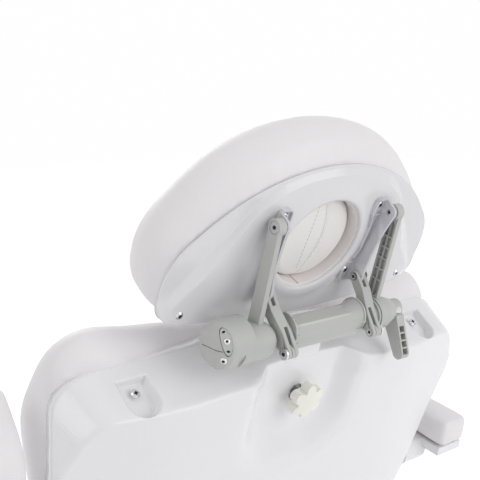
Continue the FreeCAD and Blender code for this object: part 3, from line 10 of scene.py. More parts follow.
import bmesh
import bpy
import numpy as np
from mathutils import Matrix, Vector


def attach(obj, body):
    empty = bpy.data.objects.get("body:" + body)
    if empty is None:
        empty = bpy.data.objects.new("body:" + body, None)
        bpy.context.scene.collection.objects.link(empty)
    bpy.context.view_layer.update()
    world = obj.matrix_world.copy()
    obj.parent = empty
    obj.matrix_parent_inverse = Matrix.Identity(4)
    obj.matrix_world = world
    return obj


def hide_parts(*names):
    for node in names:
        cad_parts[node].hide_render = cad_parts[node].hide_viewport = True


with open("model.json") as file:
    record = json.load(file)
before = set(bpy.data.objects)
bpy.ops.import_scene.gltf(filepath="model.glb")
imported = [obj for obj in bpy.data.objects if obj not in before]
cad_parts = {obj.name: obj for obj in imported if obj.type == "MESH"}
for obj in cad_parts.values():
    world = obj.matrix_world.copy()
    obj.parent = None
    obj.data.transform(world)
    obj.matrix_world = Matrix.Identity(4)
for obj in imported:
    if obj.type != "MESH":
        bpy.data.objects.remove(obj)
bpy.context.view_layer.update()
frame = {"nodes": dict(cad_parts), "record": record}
nodes = frame["nodes"]

# %% [markdown]
# ## Camera, floor and light
# The picture was taken from behind and to one side, a little above the headrest, with a moderate lens.
# The camera stands where the lines of the headrest, the knob and the backrest meet as they do in the picture.
# The studio is plain: a pale floor, a white surround and broad soft lamps, so that white pieces keep
# their soft grey shading and do not burn out.

# %% Camera
scene = bpy.context.scene
scene.view_settings.view_transform = "Standard"
eye = Vector((0.7115, 1.2125, 1.4095))
gaze = Vector((-0.624, -0.762, -0.170))
camera = bpy.data.objects.new("camera", bpy.data.cameras.new("camera"))
scene.collection.objects.link(camera)
camera.data.sensor_width = 36.0
camera.data.lens = 63.75
camera.data.clip_end = 50.0
camera.location = eye
camera.rotation_euler = gaze.to_track_quat("-Z", "Y").to_euler()
scene.camera = camera
print("camera", [round(c, 3) for c in eye], "lens", camera.data.lens)


# %% Nodes in few words
def new_material(name):
    """A material with an empty node tree, its Principled shader and a helper that adds linked nodes."""
    material = bpy.data.materials.new(name)
    material.use_nodes = True
    tree = material.node_tree
    shader = tree.nodes["Principled BSDF"]

    def add(kind, links=(), **values):
        node = tree.nodes.new(kind)
        for key, value in values.items():
            if hasattr(node, key):
                setattr(node, key, value)
            else:
                node.inputs[key.replace("_", " ")].default_value = value
        for socket, source in dict(links).items():
            tree.links.new(source, node.inputs[socket])
        return node

    return material, tree, shader, add


# %% Floor, surround and lamps
def seen_directly(tree):
    """1 for rays that come from the camera or from a mirror-like surface, 0 for rays that carry light."""
    path = tree.nodes.new("ShaderNodeLightPath")
    seen = tree.nodes.new("ShaderNodeMath")
    seen.operation = "MAXIMUM"
    tree.links.new(path.outputs["Is Camera Ray"], seen.inputs[0])
    tree.links.new(path.outputs["Is Glossy Ray"], seen.inputs[1])
    return seen.outputs["Value"]


floor_material, tree, shader, add = new_material("studio_floor")
shader.inputs["Base Color"].default_value = (0.93, 0.93, 0.93, 1)
grain = add("ShaderNodeTexNoise", Scale=40.0)
ramp = add("ShaderNodeMapRange", {"Value": grain.outputs["Fac"]}, To_Min=0.86, To_Max=0.92)
tree.links.new(ramp.outputs["Result"], shader.inputs["Roughness"])
shader.inputs["Emission Color"].default_value = (1, 1, 1, 1)
glow = add("ShaderNodeMapRange", {"Value": seen_directly(tree)}, To_Max=0.5)
tree.links.new(glow.outputs["Result"], shader.inputs["Emission Strength"])
floor_size = 14.0
corners = np.array([(-1, -1, 0), (1, -1, 0), (1, 1, 0), (-1, 1, 0)]) * floor_size
floor_mesh = bpy.data.meshes.new("floor")
floor_mesh.from_pydata(corners.tolist(), [], [(0, 1, 2, 3)])
floor = bpy.data.objects.new("floor", floor_mesh)
floor.data.materials.append(floor_material)
scene.collection.objects.link(floor)

world = bpy.data.worlds.new("surround")
scene.world = world
world.use_nodes = True
sky = world.node_tree
background = sky.nodes["Background"]
background.inputs["Color"].default_value = (1.0, 0.995, 1.0, 1)
strength = sky.nodes.new("ShaderNodeMapRange")
strength.inputs["To Min"].default_value = 0.57
strength.inputs["To Max"].default_value = 1.0
sky.links.new(seen_directly(sky), strength.inputs["Value"])
sky.links.new(strength.outputs["Result"], background.inputs["Strength"])


def soft_lamp(name, place, aim, size, power):
    """A square area lamp at place, turned to aim."""
    lamp = bpy.data.objects.new(name, bpy.data.lights.new(name, "AREA"))
    lamp.data.size = size
    lamp.data.energy = power
    lamp.location = place
    lamp.rotation_euler = (Vector(aim) - Vector(place)).to_track_quat("-Z", "Y").to_euler()
    scene.collection.objects.link(lamp)


soft_lamp("lamp_over", (0.4, 0.4, 3.6), (0, 0.3, 0.9), 2.4, 5)
soft_lamp("lamp_left", (2.7, 0.6, 2.6), (0, 0.4, 1.0), 1.6, 11)
soft_lamp("lamp_rear", (-1.1, 3.1, 1.9), (0, 0.4, 0.9), 2.2, 27)
soft_lamp("lamp_front", (-0.8, -3.0, 2.6), (0, 0, 0.7), 2.0, 24)
print("studio ready")

# %% [markdown]
# ## Finishes
# The chair has few finishes, each with its own small structure: soft polyurethane upholstery with a fine
# pebble grain, glossy moulded shells with a faint ripple, satin painted castings with a cast texture,
# darker moulded brackets, an ivory knob and bright steel pins. Patterns read object coordinates in metres,
# so that the grain has the same size on every piece.


# %% A general finish
def finish(name, colour, roughness, grain_scale, grain_depth, shift=0.03,
           edge_lightening=0.0, metal=0.0, coat=0.0, sheen=0.0):
    """Colour that drifts a little, roughness that drifts with it, and a fine grain as bump.

    shift is how far the colour drifts, and the edge setting how far the colour lightens along pointed edges.
    """
    material, tree, shader, add = new_material(name)
    link = tree.links.new
    place = add("ShaderNodeTexCoord").outputs["Object"]
    drift = add("ShaderNodeTexNoise", {"Vector": place}, Scale=9.0, Detail=3.0)
    dark = tuple(c * (1 - shift) for c in colour) + (1,)
    light = tuple(min(1.0, c * (1 + shift)) for c in colour) + (1,)
    mix = add("ShaderNodeMix", {"Factor": drift.outputs["Fac"]}, data_type="RGBA")
    mix.inputs["A"].default_value = dark
    mix.inputs["B"].default_value = light
    colour_out = mix.outputs["Result"]
    if edge_lightening:
        edge = add("ShaderNodeNewGeometry").outputs["Pointiness"]
        pointed_edge_mask = add("ShaderNodeMapRange", {"Value": edge}, From_Min=0.53, From_Max=0.62, To_Max=edge_lightening)
        lighter_edges = add("ShaderNodeMix", {"Factor": pointed_edge_mask.outputs["Result"], "A": colour_out}, data_type="RGBA")
        lighter_edges.inputs["B"].default_value = tuple(min(1.0, c * 1.5 + 0.05) for c in colour) + (1,)
        colour_out = lighter_edges.outputs["Result"]
    link(colour_out, shader.inputs["Base Color"])
    spots = add("ShaderNodeTexNoise", {"Vector": place}, Scale=60.0, Detail=4.0)
    rough = add("ShaderNodeMapRange", {"Value": spots.outputs["Fac"]},
                To_Min=roughness * 0.85, To_Max=roughness * 1.15)
    link(rough.outputs["Result"], shader.inputs["Roughness"])
    cells = add("ShaderNodeTexVoronoi", {"Vector": place}, Scale=grain_scale)
    fine = add("ShaderNodeTexNoise", {"Vector": place}, Scale=grain_scale * 0.6, Detail=4.0)
    both = add("ShaderNodeMath", {0: cells.outputs["Distance"], 1: fine.outputs["Fac"]}, operation="ADD")
    bump = add("ShaderNodeBump", {"Height": both.outputs["Value"]}, Strength=0.35, Distance=grain_depth)
    link(bump.outputs["Normal"], shader.inputs["Normal"])
    shader.inputs["Metallic"].default_value = metal
    shader.inputs["Coat Weight"].default_value = coat
    shader.inputs["Coat Roughness"].default_value = 0.12
    shader.inputs["Sheen Weight"].default_value = sheen
    shader.inputs["Sheen Roughness"].default_value = 0.4
    return material


upholstery = finish("white_upholstery", (0.86, 0.845, 0.855), 0.44, 750.0, 0.00035, 0.015, sheen=0.08)
plug_cover = finish("plug_cover", (0.89, 0.87, 0.85), 0.46, 750.0, 0.00035, 0.02, sheen=0.08)
sleeve_cover = finish("sleeve_cover", (0.84, 0.795, 0.785), 0.48, 750.0, 0.0003, 0.02, sheen=0.08)
# Painted shade: the headrest shell is a darker copy of the shell colour. It stands in for the shade on its
# plateau, which faces down and away from the light.
head_gloss_painted_shade = finish("head_shell_painted_shade", (0.775, 0.77, 0.79), 0.22, 220.0, 0.00005, 0.012, coat=0.3)
shell_gloss = finish("shell_gloss", (0.86, 0.855, 0.875), 0.24, 220.0, 0.00005, 0.012, coat=0.25)
casting = finish("grey_casting", (0.51, 0.52, 0.495), 0.44, 1400.0, 0.00010, 0.03, edge_lightening=0.3)
slate = finish("slate_bracket", (0.61, 0.61, 0.645), 0.42, 1200.0, 0.0001, 0.04, edge_lightening=0.35)
ivory = finish("ivory_knob", (0.90, 0.90, 0.83), 0.34, 900.0, 0.00006, 0.02)
bright = finish("bright_steel", (0.62, 0.62, 0.64), 0.22, 2200.0, 0.00003, 0.05, metal=1.0)
powder = finish("powder_coat", (0.70, 0.70, 0.715), 0.42, 1500.0, 0.00015, 0.02, edge_lightening=0.15)
brushed = finish("brushed_tube", (0.52, 0.53, 0.55), 0.32, 1800.0, 0.00004, 0.06, metal=1.0)
rubber = finish("rubber_foot", (0.030, 0.030, 0.032), 0.72, 900.0, 0.0003, 0.1)
inlet_black = finish("inlet_black", (0.022, 0.022, 0.025), 0.5, 1300.0, 0.0002, 0.1)
# Painted shade: a near-black finish for the caps, sheets and threads that stand for screw sockets, holes, the
# gap round the hub plate and its parting line.
painted_pit_shade = finish("pit_painted_shade", (0.010, 0.010, 0.011), 0.8, 600.0, 0.0001, 0.1)
thread = finish("sewing_thread", (0.66, 0.63, 0.61), 0.6, 3000.0, 0.0002, 0.04)
# Painted shadow: a darker thread colour stands in for the shade in the sleeve's seam groove.
seam_painted_shadow = finish("seam_shadow", (0.46, 0.43, 0.42), 0.7, 3000.0, 0.0002, 0.04)
print("finishes:", len(bpy.data.materials))

# %% [markdown]
# ## Dressing the solids
# The castings, pins and frames keep their solid form. Their triangles are welded and their edges get a
# small bevel, because no cast or bent edge is knife sharp, and the bevel catches a thin line of light.

# %% Materials and bevels on the solids
FINISH_OF_SLOT = {
    "white_upholstery": upholstery, "white_shell": shell_gloss, "steel_frame": powder, "column_tube": brushed,
    "grey_casting": casting, "slate_bracket": slate, "ivory_knob": ivory, "bright_steel": bright,
    "rubber_foot": rubber, "inlet_plastic": inlet_black,
}
BEVEL = {"grey_casting": 0.0012, "slate_bracket": 0.0008, "ivory_knob": 0.0016, "steel_frame": 0.0015,
         "white_shell": 0.0015, "rubber_foot": 0.0015, "inlet_plastic": 0.0006, "column_tube": 0.001}
slot_of = {part["node"]: part["material_slot"] for part in frame["record"]["subparts"]}


def round_edges(piece, width):
    """Weld loose triangles, bevel edges sharper than 35 degrees and shade the rest smoothly."""
    weld = piece.modifiers.new("weld", "WELD")
    weld.merge_threshold = 0.00002
    bevel = piece.modifiers.new("bevel", "BEVEL")
    bevel.width = width
    bevel.segments = 2
    bevel.limit_method = "ANGLE"
    bevel.angle_limit = np.radians(35)
    bevel.harden_normals = False
    even = piece.modifiers.new("even_normals", "WEIGHTED_NORMAL")
    even.keep_sharp = True


for name, node in nodes.items():
    slot = slot_of[name]
    node.data.materials.clear()
    node.data.materials.append(FINISH_OF_SLOT[slot])
    if slot in BEVEL:
        round_edges(node, BEVEL[slot])
print("solids dressed:", len(nodes))

# %% [markdown]
# ## Section frames and surface helpers
# The backrest, the headrest and the leg rest are each described in a frame of their own: x across, y along
# the section and z towards its upholstered side. A helper carries an array of such points into the chair's
# frame, and another turns a grid of points into a mesh.


# %% Frames and grids
def section(origin, degrees):
    """Frame of a section tilted about X: returns its origin and its three axes as rows."""
    c, s = np.cos(np.radians(degrees)), np.sin(np.radians(degrees))
    return np.array(origin), np.array([(1, 0, 0), (0, c, s), (0, -s, c)])


BACK = section((0, 0.241, 0.564), 70.0)
HEAD = section((0, 0.459977, 1.16536), 62.7)
LEG = section((0, -0.290, 0.556), 60.0)


def into(section_frame, x, y, z):
    """Points of a section, in millimetres, as an array of chair points in metres."""
    origin, axes = section_frame
    x, y, z = np.broadcast_arrays(x, y, z)
    return origin + np.stack((x, y, z), -1) / 1000 @ axes


def smooth(t):
    """Step from 0 to 1 with level ends: 3t^2 - 2t^3, held outside 0..1."""
    t = np.clip(t, 0, 1)
    return t * t * (3 - 2 * t)


def soft_min(a, b, blend):
    """Lower of two heights: a mix of both where they differ by less than blend, less blend times t(1 - t)."""
    t = np.clip(0.5 + (b - a) / (2 * blend), 0, 1)
    return b + (a - b) * t - blend * t * (1 - t)


def quarter(t):
    """Quarter circle from 0 to 1 that starts steep and ends level: sqrt(1 - (1 - t)^2), held outside 0..1."""
    return np.sqrt(1 - (1 - np.clip(t, 0, 1)) ** 2)


def graded(first, second, counts):
    """Numbers from 0 to 1, evenly spaced within each of three stretches that meet at first and second."""
    inner, middle, outer = counts
    return np.concatenate((np.linspace(0, first, inner)[:-1], np.linspace(first, second, middle)[:-1],
                           np.linspace(second, 1, outer)))


def grid_faces(rows, columns, close_columns=False, close_rows=False):
    """Quads of a grid whose points are numbered row by row, wrapped round where it is closed."""
    quad_rows, quad_columns = rows - (not close_rows), columns - (not close_columns)
    i, j = np.meshgrid(np.arange(quad_rows), np.arange(quad_columns), indexing="ij")
    below, right = (i + 1) % rows, (j + 1) % columns
    quads = np.stack((i * columns + j, i * columns + right, below * columns + right, below * columns + j), -1)
    return quads.reshape(-1, 4)


def make_piece(name, points, faces, material, outward=None):
    """Mesh object from points and faces, which are turned to look along outward or out of the form."""
    mesh = bpy.data.meshes.new(name)
    mesh.from_pydata(np.reshape(points, (-1, 3)).tolist(), [], np.asarray(faces).tolist())
    bm = bmesh.new()
    bm.from_mesh(mesh)
    bmesh.ops.remove_doubles(bm, verts=bm.verts, dist=0.00001)
    if outward is None:
        bmesh.ops.recalc_face_normals(bm, faces=bm.faces)
    bm.to_mesh(mesh)
    bm.free()
    if outward is not None:
        normals = np.zeros(len(mesh.polygons) * 3)
        areas = np.zeros(len(mesh.polygons))
        mesh.polygons.foreach_get("normal", normals)
        mesh.polygons.foreach_get("area", areas)
        if (normals.reshape(-1, 3) * areas[:, None]).sum(0) @ np.array(outward) < 0:
            mesh.flip_normals()
    mesh.polygons.foreach_set("use_smooth", np.ones(len(mesh.polygons), bool))
    mesh.materials.append(material)
    piece = bpy.data.objects.new(name, mesh)
    scene.collection.objects.link(piece)
    print(name, len(mesh.polygons), "faces")
    return piece


def thicken(piece, thickness):
    """Give a sheet a wall behind its outer face."""
    wall = piece.modifiers.new("wall", "SOLIDIFY")
    wall.thickness = thickness
    wall.offset = -1.0


def arc(p, q, r, count=40):
    """Points of the circle through three points, from p past q to r.

    The centre is as far from p as from q and r, which gives two linear equations.
    """
    p, q, r = (np.array(v, float) for v in (p, q, r))
    b, c = q - p, r - p
    d = 2 * (b[0] * c[1] - b[1] * c[0])
    centre = p + np.array((c[1] * (b @ b) - b[1] * (c @ c), b[0] * (c @ c) - c[0] * (b @ b))) / d
    spin = np.sign(d)
    start = np.arctan2(*(p - centre)[::-1])
    sweep = (spin * (np.arctan2(*(r - centre)[::-1]) - start)) % (2 * np.pi)
    angle = start + spin * sweep * np.linspace(0, 1, count)
    return centre + np.linalg.norm(p - centre) * np.stack((np.cos(angle), np.sin(angle)), -1)


def corner_path(corners, count=16):
    """Closed outline through corners (u, v, radius), each rounded by a tangent arc."""
    corners = np.array(corners, float)
    points = []
    for before, here, after in zip(np.roll(corners, 1, 0), corners, np.roll(corners, -1, 0)):
        to_before = (before - here)[:2] / np.linalg.norm((before - here)[:2])
        to_after = (after - here)[:2] / np.linalg.norm((after - here)[:2])
        half = np.arccos(np.clip(to_before @ to_after, -1, 1)) / 2
        reach = here[2] / np.tan(half)
        middle = (to_before + to_after) / np.linalg.norm(to_before + to_after)
        bend = here[:2] + middle * (np.hypot(reach, here[2]) - here[2])
        points.append(arc(here[:2] + to_before * reach, bend, here[:2] + to_after * reach, count))
    return np.concatenate(points)


def dense(outline, step=1.2):
    """The closed outline again, with points an even step apart."""
    loop = np.vstack((outline, outline[:1]))
    length = np.concatenate(([0], np.cumsum(np.hypot(*np.diff(loop, axis=0).T))))
    spot = np.arange(0, length[-1], step)
    return np.stack((np.interp(spot, length, loop[:, 0]), np.interp(spot, length, loop[:, 1])), -1)


def polar_reach(outline, centre, angles):
    """How far an outline lies from a centre inside it, at the given angles."""
    away = dense(outline) - centre
    turn = np.arctan2(away[:, 1], away[:, 0])
    order = np.argsort(turn)
    turn, reach = turn[order], np.hypot(away[:, 0], away[:, 1])[order]
    return np.interp(angles, turn, reach, period=2 * np.pi)


# %% [markdown]
# ## The headrest's rear shell
# Behind the headrest cushion sits a glossy moulded shell. Seen from behind it is a half moon with a narrow
# rolled edge. Inside the edge lies a gentle ledge, and a step leads from it up to a flat plateau. The plateau
# carries the brackets and surrounds the round face hole with its raised lip. Such a shell is easiest to
# describe as height over a plan: rings of points run from the hole's edge to the outline. Each point's height
# is the lower of the terrace and the rolled edge, joined by a soft minimum, with the lip added.

# %% Headrest shell
HOLE = np.array((0.0, 72.6))
HOLE_RADIUS = 66.0
EDGE = 63.0
PLATE = 8.0
ROLL_WIDTH, ROLL_OVER = 9.0, 2.5
LIP_WIDTH, LIP_FADE, LIP_HEIGHT = 7.0, 10.0, 3.0
LOWEST_LEDGE = 6.4
SCREW_X, SCREW_SEAT = 182.3, 10.0
# Turn above the level of the hole, and how far inside the outline the step up to the plateau starts and ends.
LEDGE = np.array([
    (-22, 4, 10), (-17, 9, 18), (-12, 20, 40), (-8, 27, 53), (-3, 33, 56), (3, 35, 54), (9, 34, 48),
    (14, 30, 40), (19, 25, 33), (26, 17, 25), (34, 9, 20), (45, 4, 14), (60, 3, 11), (90, 3, 11)])
# Turn above the level of the hole, and how far the ledge lies below the plateau.
DROP = np.array([
    (-26, 0), (-18, 2.5), (-10, 5.2), (-2, 6.6), (10, 6.8), (20, 6.2), (30, 5.6), (45, 4.6), (90, 4.0)])


def head_outline(top=0.0):
    """Half-moon outline of the headrest from six arcs, grown at its top."""
    corner = np.array((185.0, -14.0))
    flank = np.array((215.0, 25.0))
    shoulder = np.array((185.0, 106 + top * 0.6))
    bend = corner + (0.74, 0.3) * (flank - corner)
    middle = flank + (0.13, 0.5) * (shoulder - flank)
    mirror = np.array((-1, 1))
    return np.concatenate((
        arc(corner * mirror, (0, -33), corner),
        arc(corner, bend, flank),
        arc(flank, middle, shoulder),
        arc(shoulder, (0, 189 + top), shoulder * mirror),
        arc(shoulder * mirror, middle * mirror, flank * mirror),
        arc(flank * mirror, bend * mirror, corner * mirror)))


def rise_above_hole(angles):
    """Turn above the level of the hole in degrees, the same on both sides: -90 below, 90 above."""
    return np.degrees(np.arctan2(np.sin(angles), np.abs(np.cos(angles))))


angles = np.linspace(-np.pi, np.pi, 400, endpoint=False)
reach = polar_reach(head_outline(top=-8.0), HOLE, angles)
share = graded(0.16, 0.5, (24, 24, 68))[:, None]
radius = EDGE + share * (reach - EDGE)
x = HOLE[0] + radius * np.cos(angles)
y = HOLE[1] + radius * np.sin(angles)
inside = (1 - share) * (reach - EDGE)
rise = rise_above_hole(angles)
foot = np.interp(rise, LEDGE[:, 0], LEDGE[:, 1])
brow = np.interp(rise, LEDGE[:, 0], LEDGE[:, 2])
drop = np.interp(rise, DROP[:, 0], DROP[:, 1])
climb = np.clip((inside - foot) / (brow - foot), 0, 1)
below = 1.3 * drop * (1 - climb ** 1.1) + 0.045 * np.clip(foot - inside, 0, None)
terrace = -soft_min(below, LOWEST_LEDGE, 1.0)
roll = -PLATE + (PLATE + ROLL_OVER) * quarter(inside / ROLL_WIDTH)
height = soft_min(terrace, roll, 1.2)
edge = radius - EDGE
fade = np.exp(-(((edge - LIP_WIDTH) / LIP_FADE) ** 2))
height = height + LIP_HEIGHT * np.where(edge < LIP_WIDTH, quarter(edge / LIP_WIDTH), fade)
for screw_x in (-SCREW_X, SCREW_X):
    near = smooth((SCREW_SEAT - np.hypot(x - screw_x, y)) / 3.5)
    height = height * (1 - near)
x = np.concatenate((x[:1], x[:1], x))
y = np.concatenate((y[:1], y[:1], y))
height = np.concatenate((height[:1] * 0 - PLATE, height[:1] * 0 - 2, height))
head_shell = make_piece("headrest_shell", into(HEAD, x, y, -height), grid_faces(*x.shape, close_columns=True),
                        head_gloss_painted_shade, outward=-HEAD[1][2])
thicken(head_shell, 0.0022)
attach(head_shell, "headrest")
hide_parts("head_shell")

# %% [markdown]
# ## The backrest's rear shell
# The large shell behind the backrest is slightly crowned, with a flank that falls to the seam at the sides
# and wraps forward over the top. It has a dished recess round the star knob and a scooped pocket with a screw
# at each upper corner. The height is the lower of the crown and the flank, joined by a soft minimum, which
# gives the rounded ridge between them.

# %% Backrest shell
half = [(255, 22, 40), (268, 160, 250), (337, 480, 110), (314, 572, 58)]
BACK_OUTLINE = corner_path(half + [(0, 592, 1300)] + [(-u, v, r) for u, v, r in half[::-1]])
KNOB = np.array((0.0, 516.0))
KNOB_HOLE = 11.0
CROWN, RECESS_FLOOR = 62.0, 40.0
RECESS_MIDDLE = 700.0
POCKET = np.array((235.0, 552.0, -24.0))
POCKET_TILT = np.radians(25)
POCKET_UP = np.array((0.0, np.cos(POCKET_TILT), -np.sin(POCKET_TILT)))
POCKET_DOWN = np.array((0.0, -np.sin(POCKET_TILT), -np.cos(POCKET_TILT)))
POCKET_HALF, POCKET_BEND, POCKET_BACK = 18.0, 6.5, 6.0


def seam_depth(up):
    """Where the shell meets the cushion: 32 mm behind the frame at the sides, 14 mm before it at the top."""
    return -32 + 46 * smooth((up - 476) / 84)


def rounded_box(x, y, half_x, half_y, corner):
    """Signed distance to a rounded rectangle: negative inside."""
    qx, qy = np.abs(x) - half_x + corner, np.abs(y) - half_y + corner
    return np.hypot(np.maximum(qx, 0), np.maximum(qy, 0)) + np.minimum(np.maximum(qx, qy), 0) - corner


def nearest_rim(outline, x, y):
    """For each point its distance to the outline and the height of the nearest bit of rim."""
    rim = dense(outline).T
    found = [np.hypot(row_x[:, None] - rim[0], row_y[:, None] - rim[1]) for row_x, row_y in zip(x, y)]
    near = np.array([gap.argmin(1) for gap in found])
    return np.array([gap.min(1) for gap in found]), rim[1][near]


def crowded(count, spots, width, crowd):
    """Angles round a full turn, crowded by a factor within a width of some spots.

    The density is summed along the turn, and the angles lie where the sum passes even shares of its total.
    """
    fine = np.linspace(-np.pi, np.pi, 20001)
    density = np.ones_like(fine)
    for spot in spots:
        away = np.abs((fine - spot + np.pi) % (2 * np.pi) - np.pi)
        density += crowd * smooth((width - away) / (0.4 * width))
    total = np.cumsum(density)
    return np.interp(np.arange(count) / count, (total - total[0]) / (total[-1] - total[0]), fine)


pocket_turn = np.arctan2(POCKET[1] - KNOB[1], POCKET[0])
angles = crowded(440, (pocket_turn, np.pi - pocket_turn), np.radians(8), 9.0)
reach = polar_reach(BACK_OUTLINE, KNOB, angles)
share = graded(0.27, 0.72, (33, 19, 60))[:, None]
radius = KNOB_HOLE + share * (reach - KNOB_HOLE)
x = KNOB[0] + radius * np.cos(angles)
y = KNOB[1] + radius * np.sin(angles)
inside, rim_y = nearest_rim(BACK_OUTLINE, x, y)
seam = seam_depth(rim_y)
flank = -seam + inside / 0.3
crease = 200 + 43 * smooth((450 - y) / 155)
crown = soft_min(CROWN - x ** 2 / 24000, 60.5 - 0.15 * (np.abs(x) - crease), 4.0)
height = soft_min(crown, flank, 12.0)
# The recess lies between two rounded boxes that reach beyond the shell's upper edge, so it is open there.
floor_gap = rounded_box(x, y - RECESS_MIDDLE, 62, 240, 44)
brim_gap = rounded_box(x, y - RECESS_MIDDLE, 94, 289, 74)
climb = np.clip(floor_gap / np.maximum(floor_gap - brim_gap, 1), 0, 1.3)
wall = 0.4 * climb + 0.6 * smooth(climb) + np.maximum(climb - 1, 0)
height = soft_min(height, RECESS_FLOOR + (CROWN - RECESS_FLOOR) * wall, 7.0)
points = np.stack((x, y, -height), -1)
for side in (-1, 1):
    off = points - POCKET * (side, 1, 1)
    down = off @ POCKET_DOWN
    above = np.maximum(off @ POCKET_UP, 0)
    round_end = np.hypot(off[..., 0], down - POCKET_BEND)
    straight = np.maximum(np.abs(off[..., 0]), -down - POCKET_BACK)
    across = np.where(down > POCKET_BEND, round_end, straight) - POCKET_HALF
    points = points - (above * smooth(0.5 - across / 4.5))[..., None] * POCKET_UP
tuck = points[-1:] * (0.992, 1, 1) - (0, 2.5, 0) + (0, 0, 16)
points = np.concatenate((points, tuck))
faces = grid_faces(*points.shape[:2], close_columns=True)
back_shell = make_piece("backrest_shell", into(BACK, *np.moveaxis(points, -1, 0)), faces, shell_gloss,
                        outward=-BACK[1][2])
thicken(back_shell, 0.003)
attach(back_shell, "back")
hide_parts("back_shell")

# %% [markdown]
# ## Stuffing the cushions
# Foam under stretched polyurethane swells between its seams and pulls in towards them. Each cushion starts
# from its solid, and the headrest's from rings drawn for it. It is remeshed evenly, made a little smaller and
# blown up by the cloth simulation for a few frames. How far a point may move is capped, and points next to
# the hard shell do not move at all.


# %% Stuffing
def stuffed(name, node_name, voxel, shrink, cap, held, body, form=None):
    """Cushion from a solid or a form: remeshed, shrunk along its normals, swollen as cloth and smoothed.

    held(points) gives how firmly each point is kept in place, from 0, free, to 1, fixed.
    """
    cloth_frames = 20
    mesh = (form or nodes[node_name]).data.copy()
    bm = bmesh.new()
    bm.from_mesh(mesh)
    bmesh.ops.remove_doubles(bm, verts=bm.verts, dist=0.00002)
    bm.to_mesh(mesh)
    bm.free()
    piece = bpy.data.objects.new(name, mesh)
    scene.collection.objects.link(piece)
    even = piece.modifiers.new("even", "REMESH")
    even.mode = "VOXEL"
    even.voxel_size = voxel
    soften = piece.modifiers.new("soften", "SMOOTH")
    soften.iterations = 4
    depsgraph = bpy.context.evaluated_depsgraph_get()
    start = bpy.data.meshes.new_from_object(piece.evaluated_get(depsgraph))
    piece.modifiers.clear()
    piece.data = start
    count = len(start.vertices)
    points, normals = np.zeros(count * 3), np.zeros(count * 3)
    start.vertices.foreach_get("co", points)
    start.vertices.foreach_get("normal", normals)
    points, normals = points.reshape(-1, 3), normals.reshape(-1, 3)
    free = 1 - np.clip(held(points), 0, 1)[:, None]
    points = points - normals * shrink * free
    start.vertices.foreach_set("co", points.ravel())
    start.update()
    cloth = piece.modifiers.new("cloth", "CLOTH")
    cloth.settings.quality = 4
    cloth.settings.use_pressure = True
    cloth.settings.uniform_pressure_force = 4.0
    cloth.settings.effector_weights.gravity = 0.0
    cloth.point_cache.frame_start = 1
    cloth.point_cache.frame_end = cloth_frames
    for step in range(1, cloth_frames + 1):
        scene.frame_set(step)
    swollen = np.zeros(count * 3)
    shape = piece.evaluated_get(bpy.context.evaluated_depsgraph_get()).data
    shape.vertices.foreach_get("co", swollen)
    move = (swollen.reshape(-1, 3) - points) * free
    length = np.linalg.norm(move, axis=1, keepdims=True)
    points = points + move * np.minimum(1, cap / np.maximum(length, 1e-9))
    piece.modifiers.clear()
    scene.frame_set(1)
    start.vertices.foreach_set("co", points.ravel())
    start.polygons.foreach_set("use_smooth", np.ones(len(start.polygons), bool))
    start.materials.clear()
    start.materials.append(upholstery)
    start.update()
    relax = piece.modifiers.new("relax", "SMOOTH")
    relax.iterations = 8
    finer = piece.modifiers.new("finer", "SUBSURF")
    finer.levels = finer.render_levels = 1
    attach(piece, body)
    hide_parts(node_name)
    print(name, count, "points")


def depth_in(section_frame, points):
    """Distance of chair points towards a section's upholstered side, in millimetres."""
    origin, axes = section_frame
    return (points - origin) @ axes[2] * 1000


def spline(t, knots, values):
    """Smooth curves through rows of values at knots: cubic pieces whose slopes come from the neighbours."""
    slopes = np.gradient(values, knots, axis=0)
    i = np.clip(np.searchsorted(knots, t) - 1, 0, len(knots) - 2)
    h = (knots[i + 1] - knots[i])[:, None]
    s = (t - knots[i])[:, None] / h
    return ((2 * s ** 3 - 3 * s ** 2 + 1) * values[i] + (s ** 3 - 2 * s ** 2 + s) * h * slopes[i]
            + (3 * s ** 2 - 2 * s ** 3) * values[i + 1] + (s ** 3 - s ** 2) * h * slopes[i + 1])


# How far the headrest cushion stands out from the outline: rows run from the shell to the front, and
# columns from straight below the hole to straight above it.
TURN = np.array((-90, -50, -27, -10, 0, 12, 25, 40, 60, 90))
ROWS = np.array((0, 0.15, 0.42, 0.68, 0.87, 0.97, 1.0))
GROW = np.array([
    (-3, -3, -3, -3, -3, -5, -8, -10, -11, -11), (-8, -6, -1, 5, 6, 7, 8, 8, 8, 8),
    (-20, -15, -4, 6, 9, 13, 20, 22, 22, 21), (-24, -20, -8, -3, 1, 8, 18, 20, 19, 17),
    (-32, -30, -24, -18, -16, -11, -3, 1, 3, 4), (-50, -50, -50, -47, -45, -42, -37, -33, -31, -30),
    (-68, -72, -76, -76, -76, -74, -70, -64, -58, -56)], float)
HEAD_PAD = 102.0
PAD_HOLE = 66.3
angles = np.linspace(-np.pi, np.pi, 240, endpoint=False)
reach = polar_reach(head_outline(), HOLE, angles)
rise = rise_above_hole(angles)
grow = np.array([np.interp(rise, TURN, row) for row in GROW])
grow = sum(np.roll(grow, k, 1) for k in range(-6, 7)) / 13
share = np.linspace(0, 1, 40)
radius = reach + spline(share, ROWS, grow)
across = radius * np.cos(angles)
along = HOLE[1] + radius * np.sin(angles)
depth = PLATE + 0.4 + HEAD_PAD * share[:, None] + 0 * angles
ring_x, ring_y = PAD_HOLE * np.cos(angles), HOLE[1] + PAD_HOLE * np.sin(angles)
across = np.concatenate((ring_x[None], across, ring_x[None]))
along = np.concatenate((ring_y[None], along, ring_y[None]))
depth = np.concatenate((depth[:1], depth, depth[-1:] - 1))
faces = grid_faces(*across.shape, close_columns=True, close_rows=True)
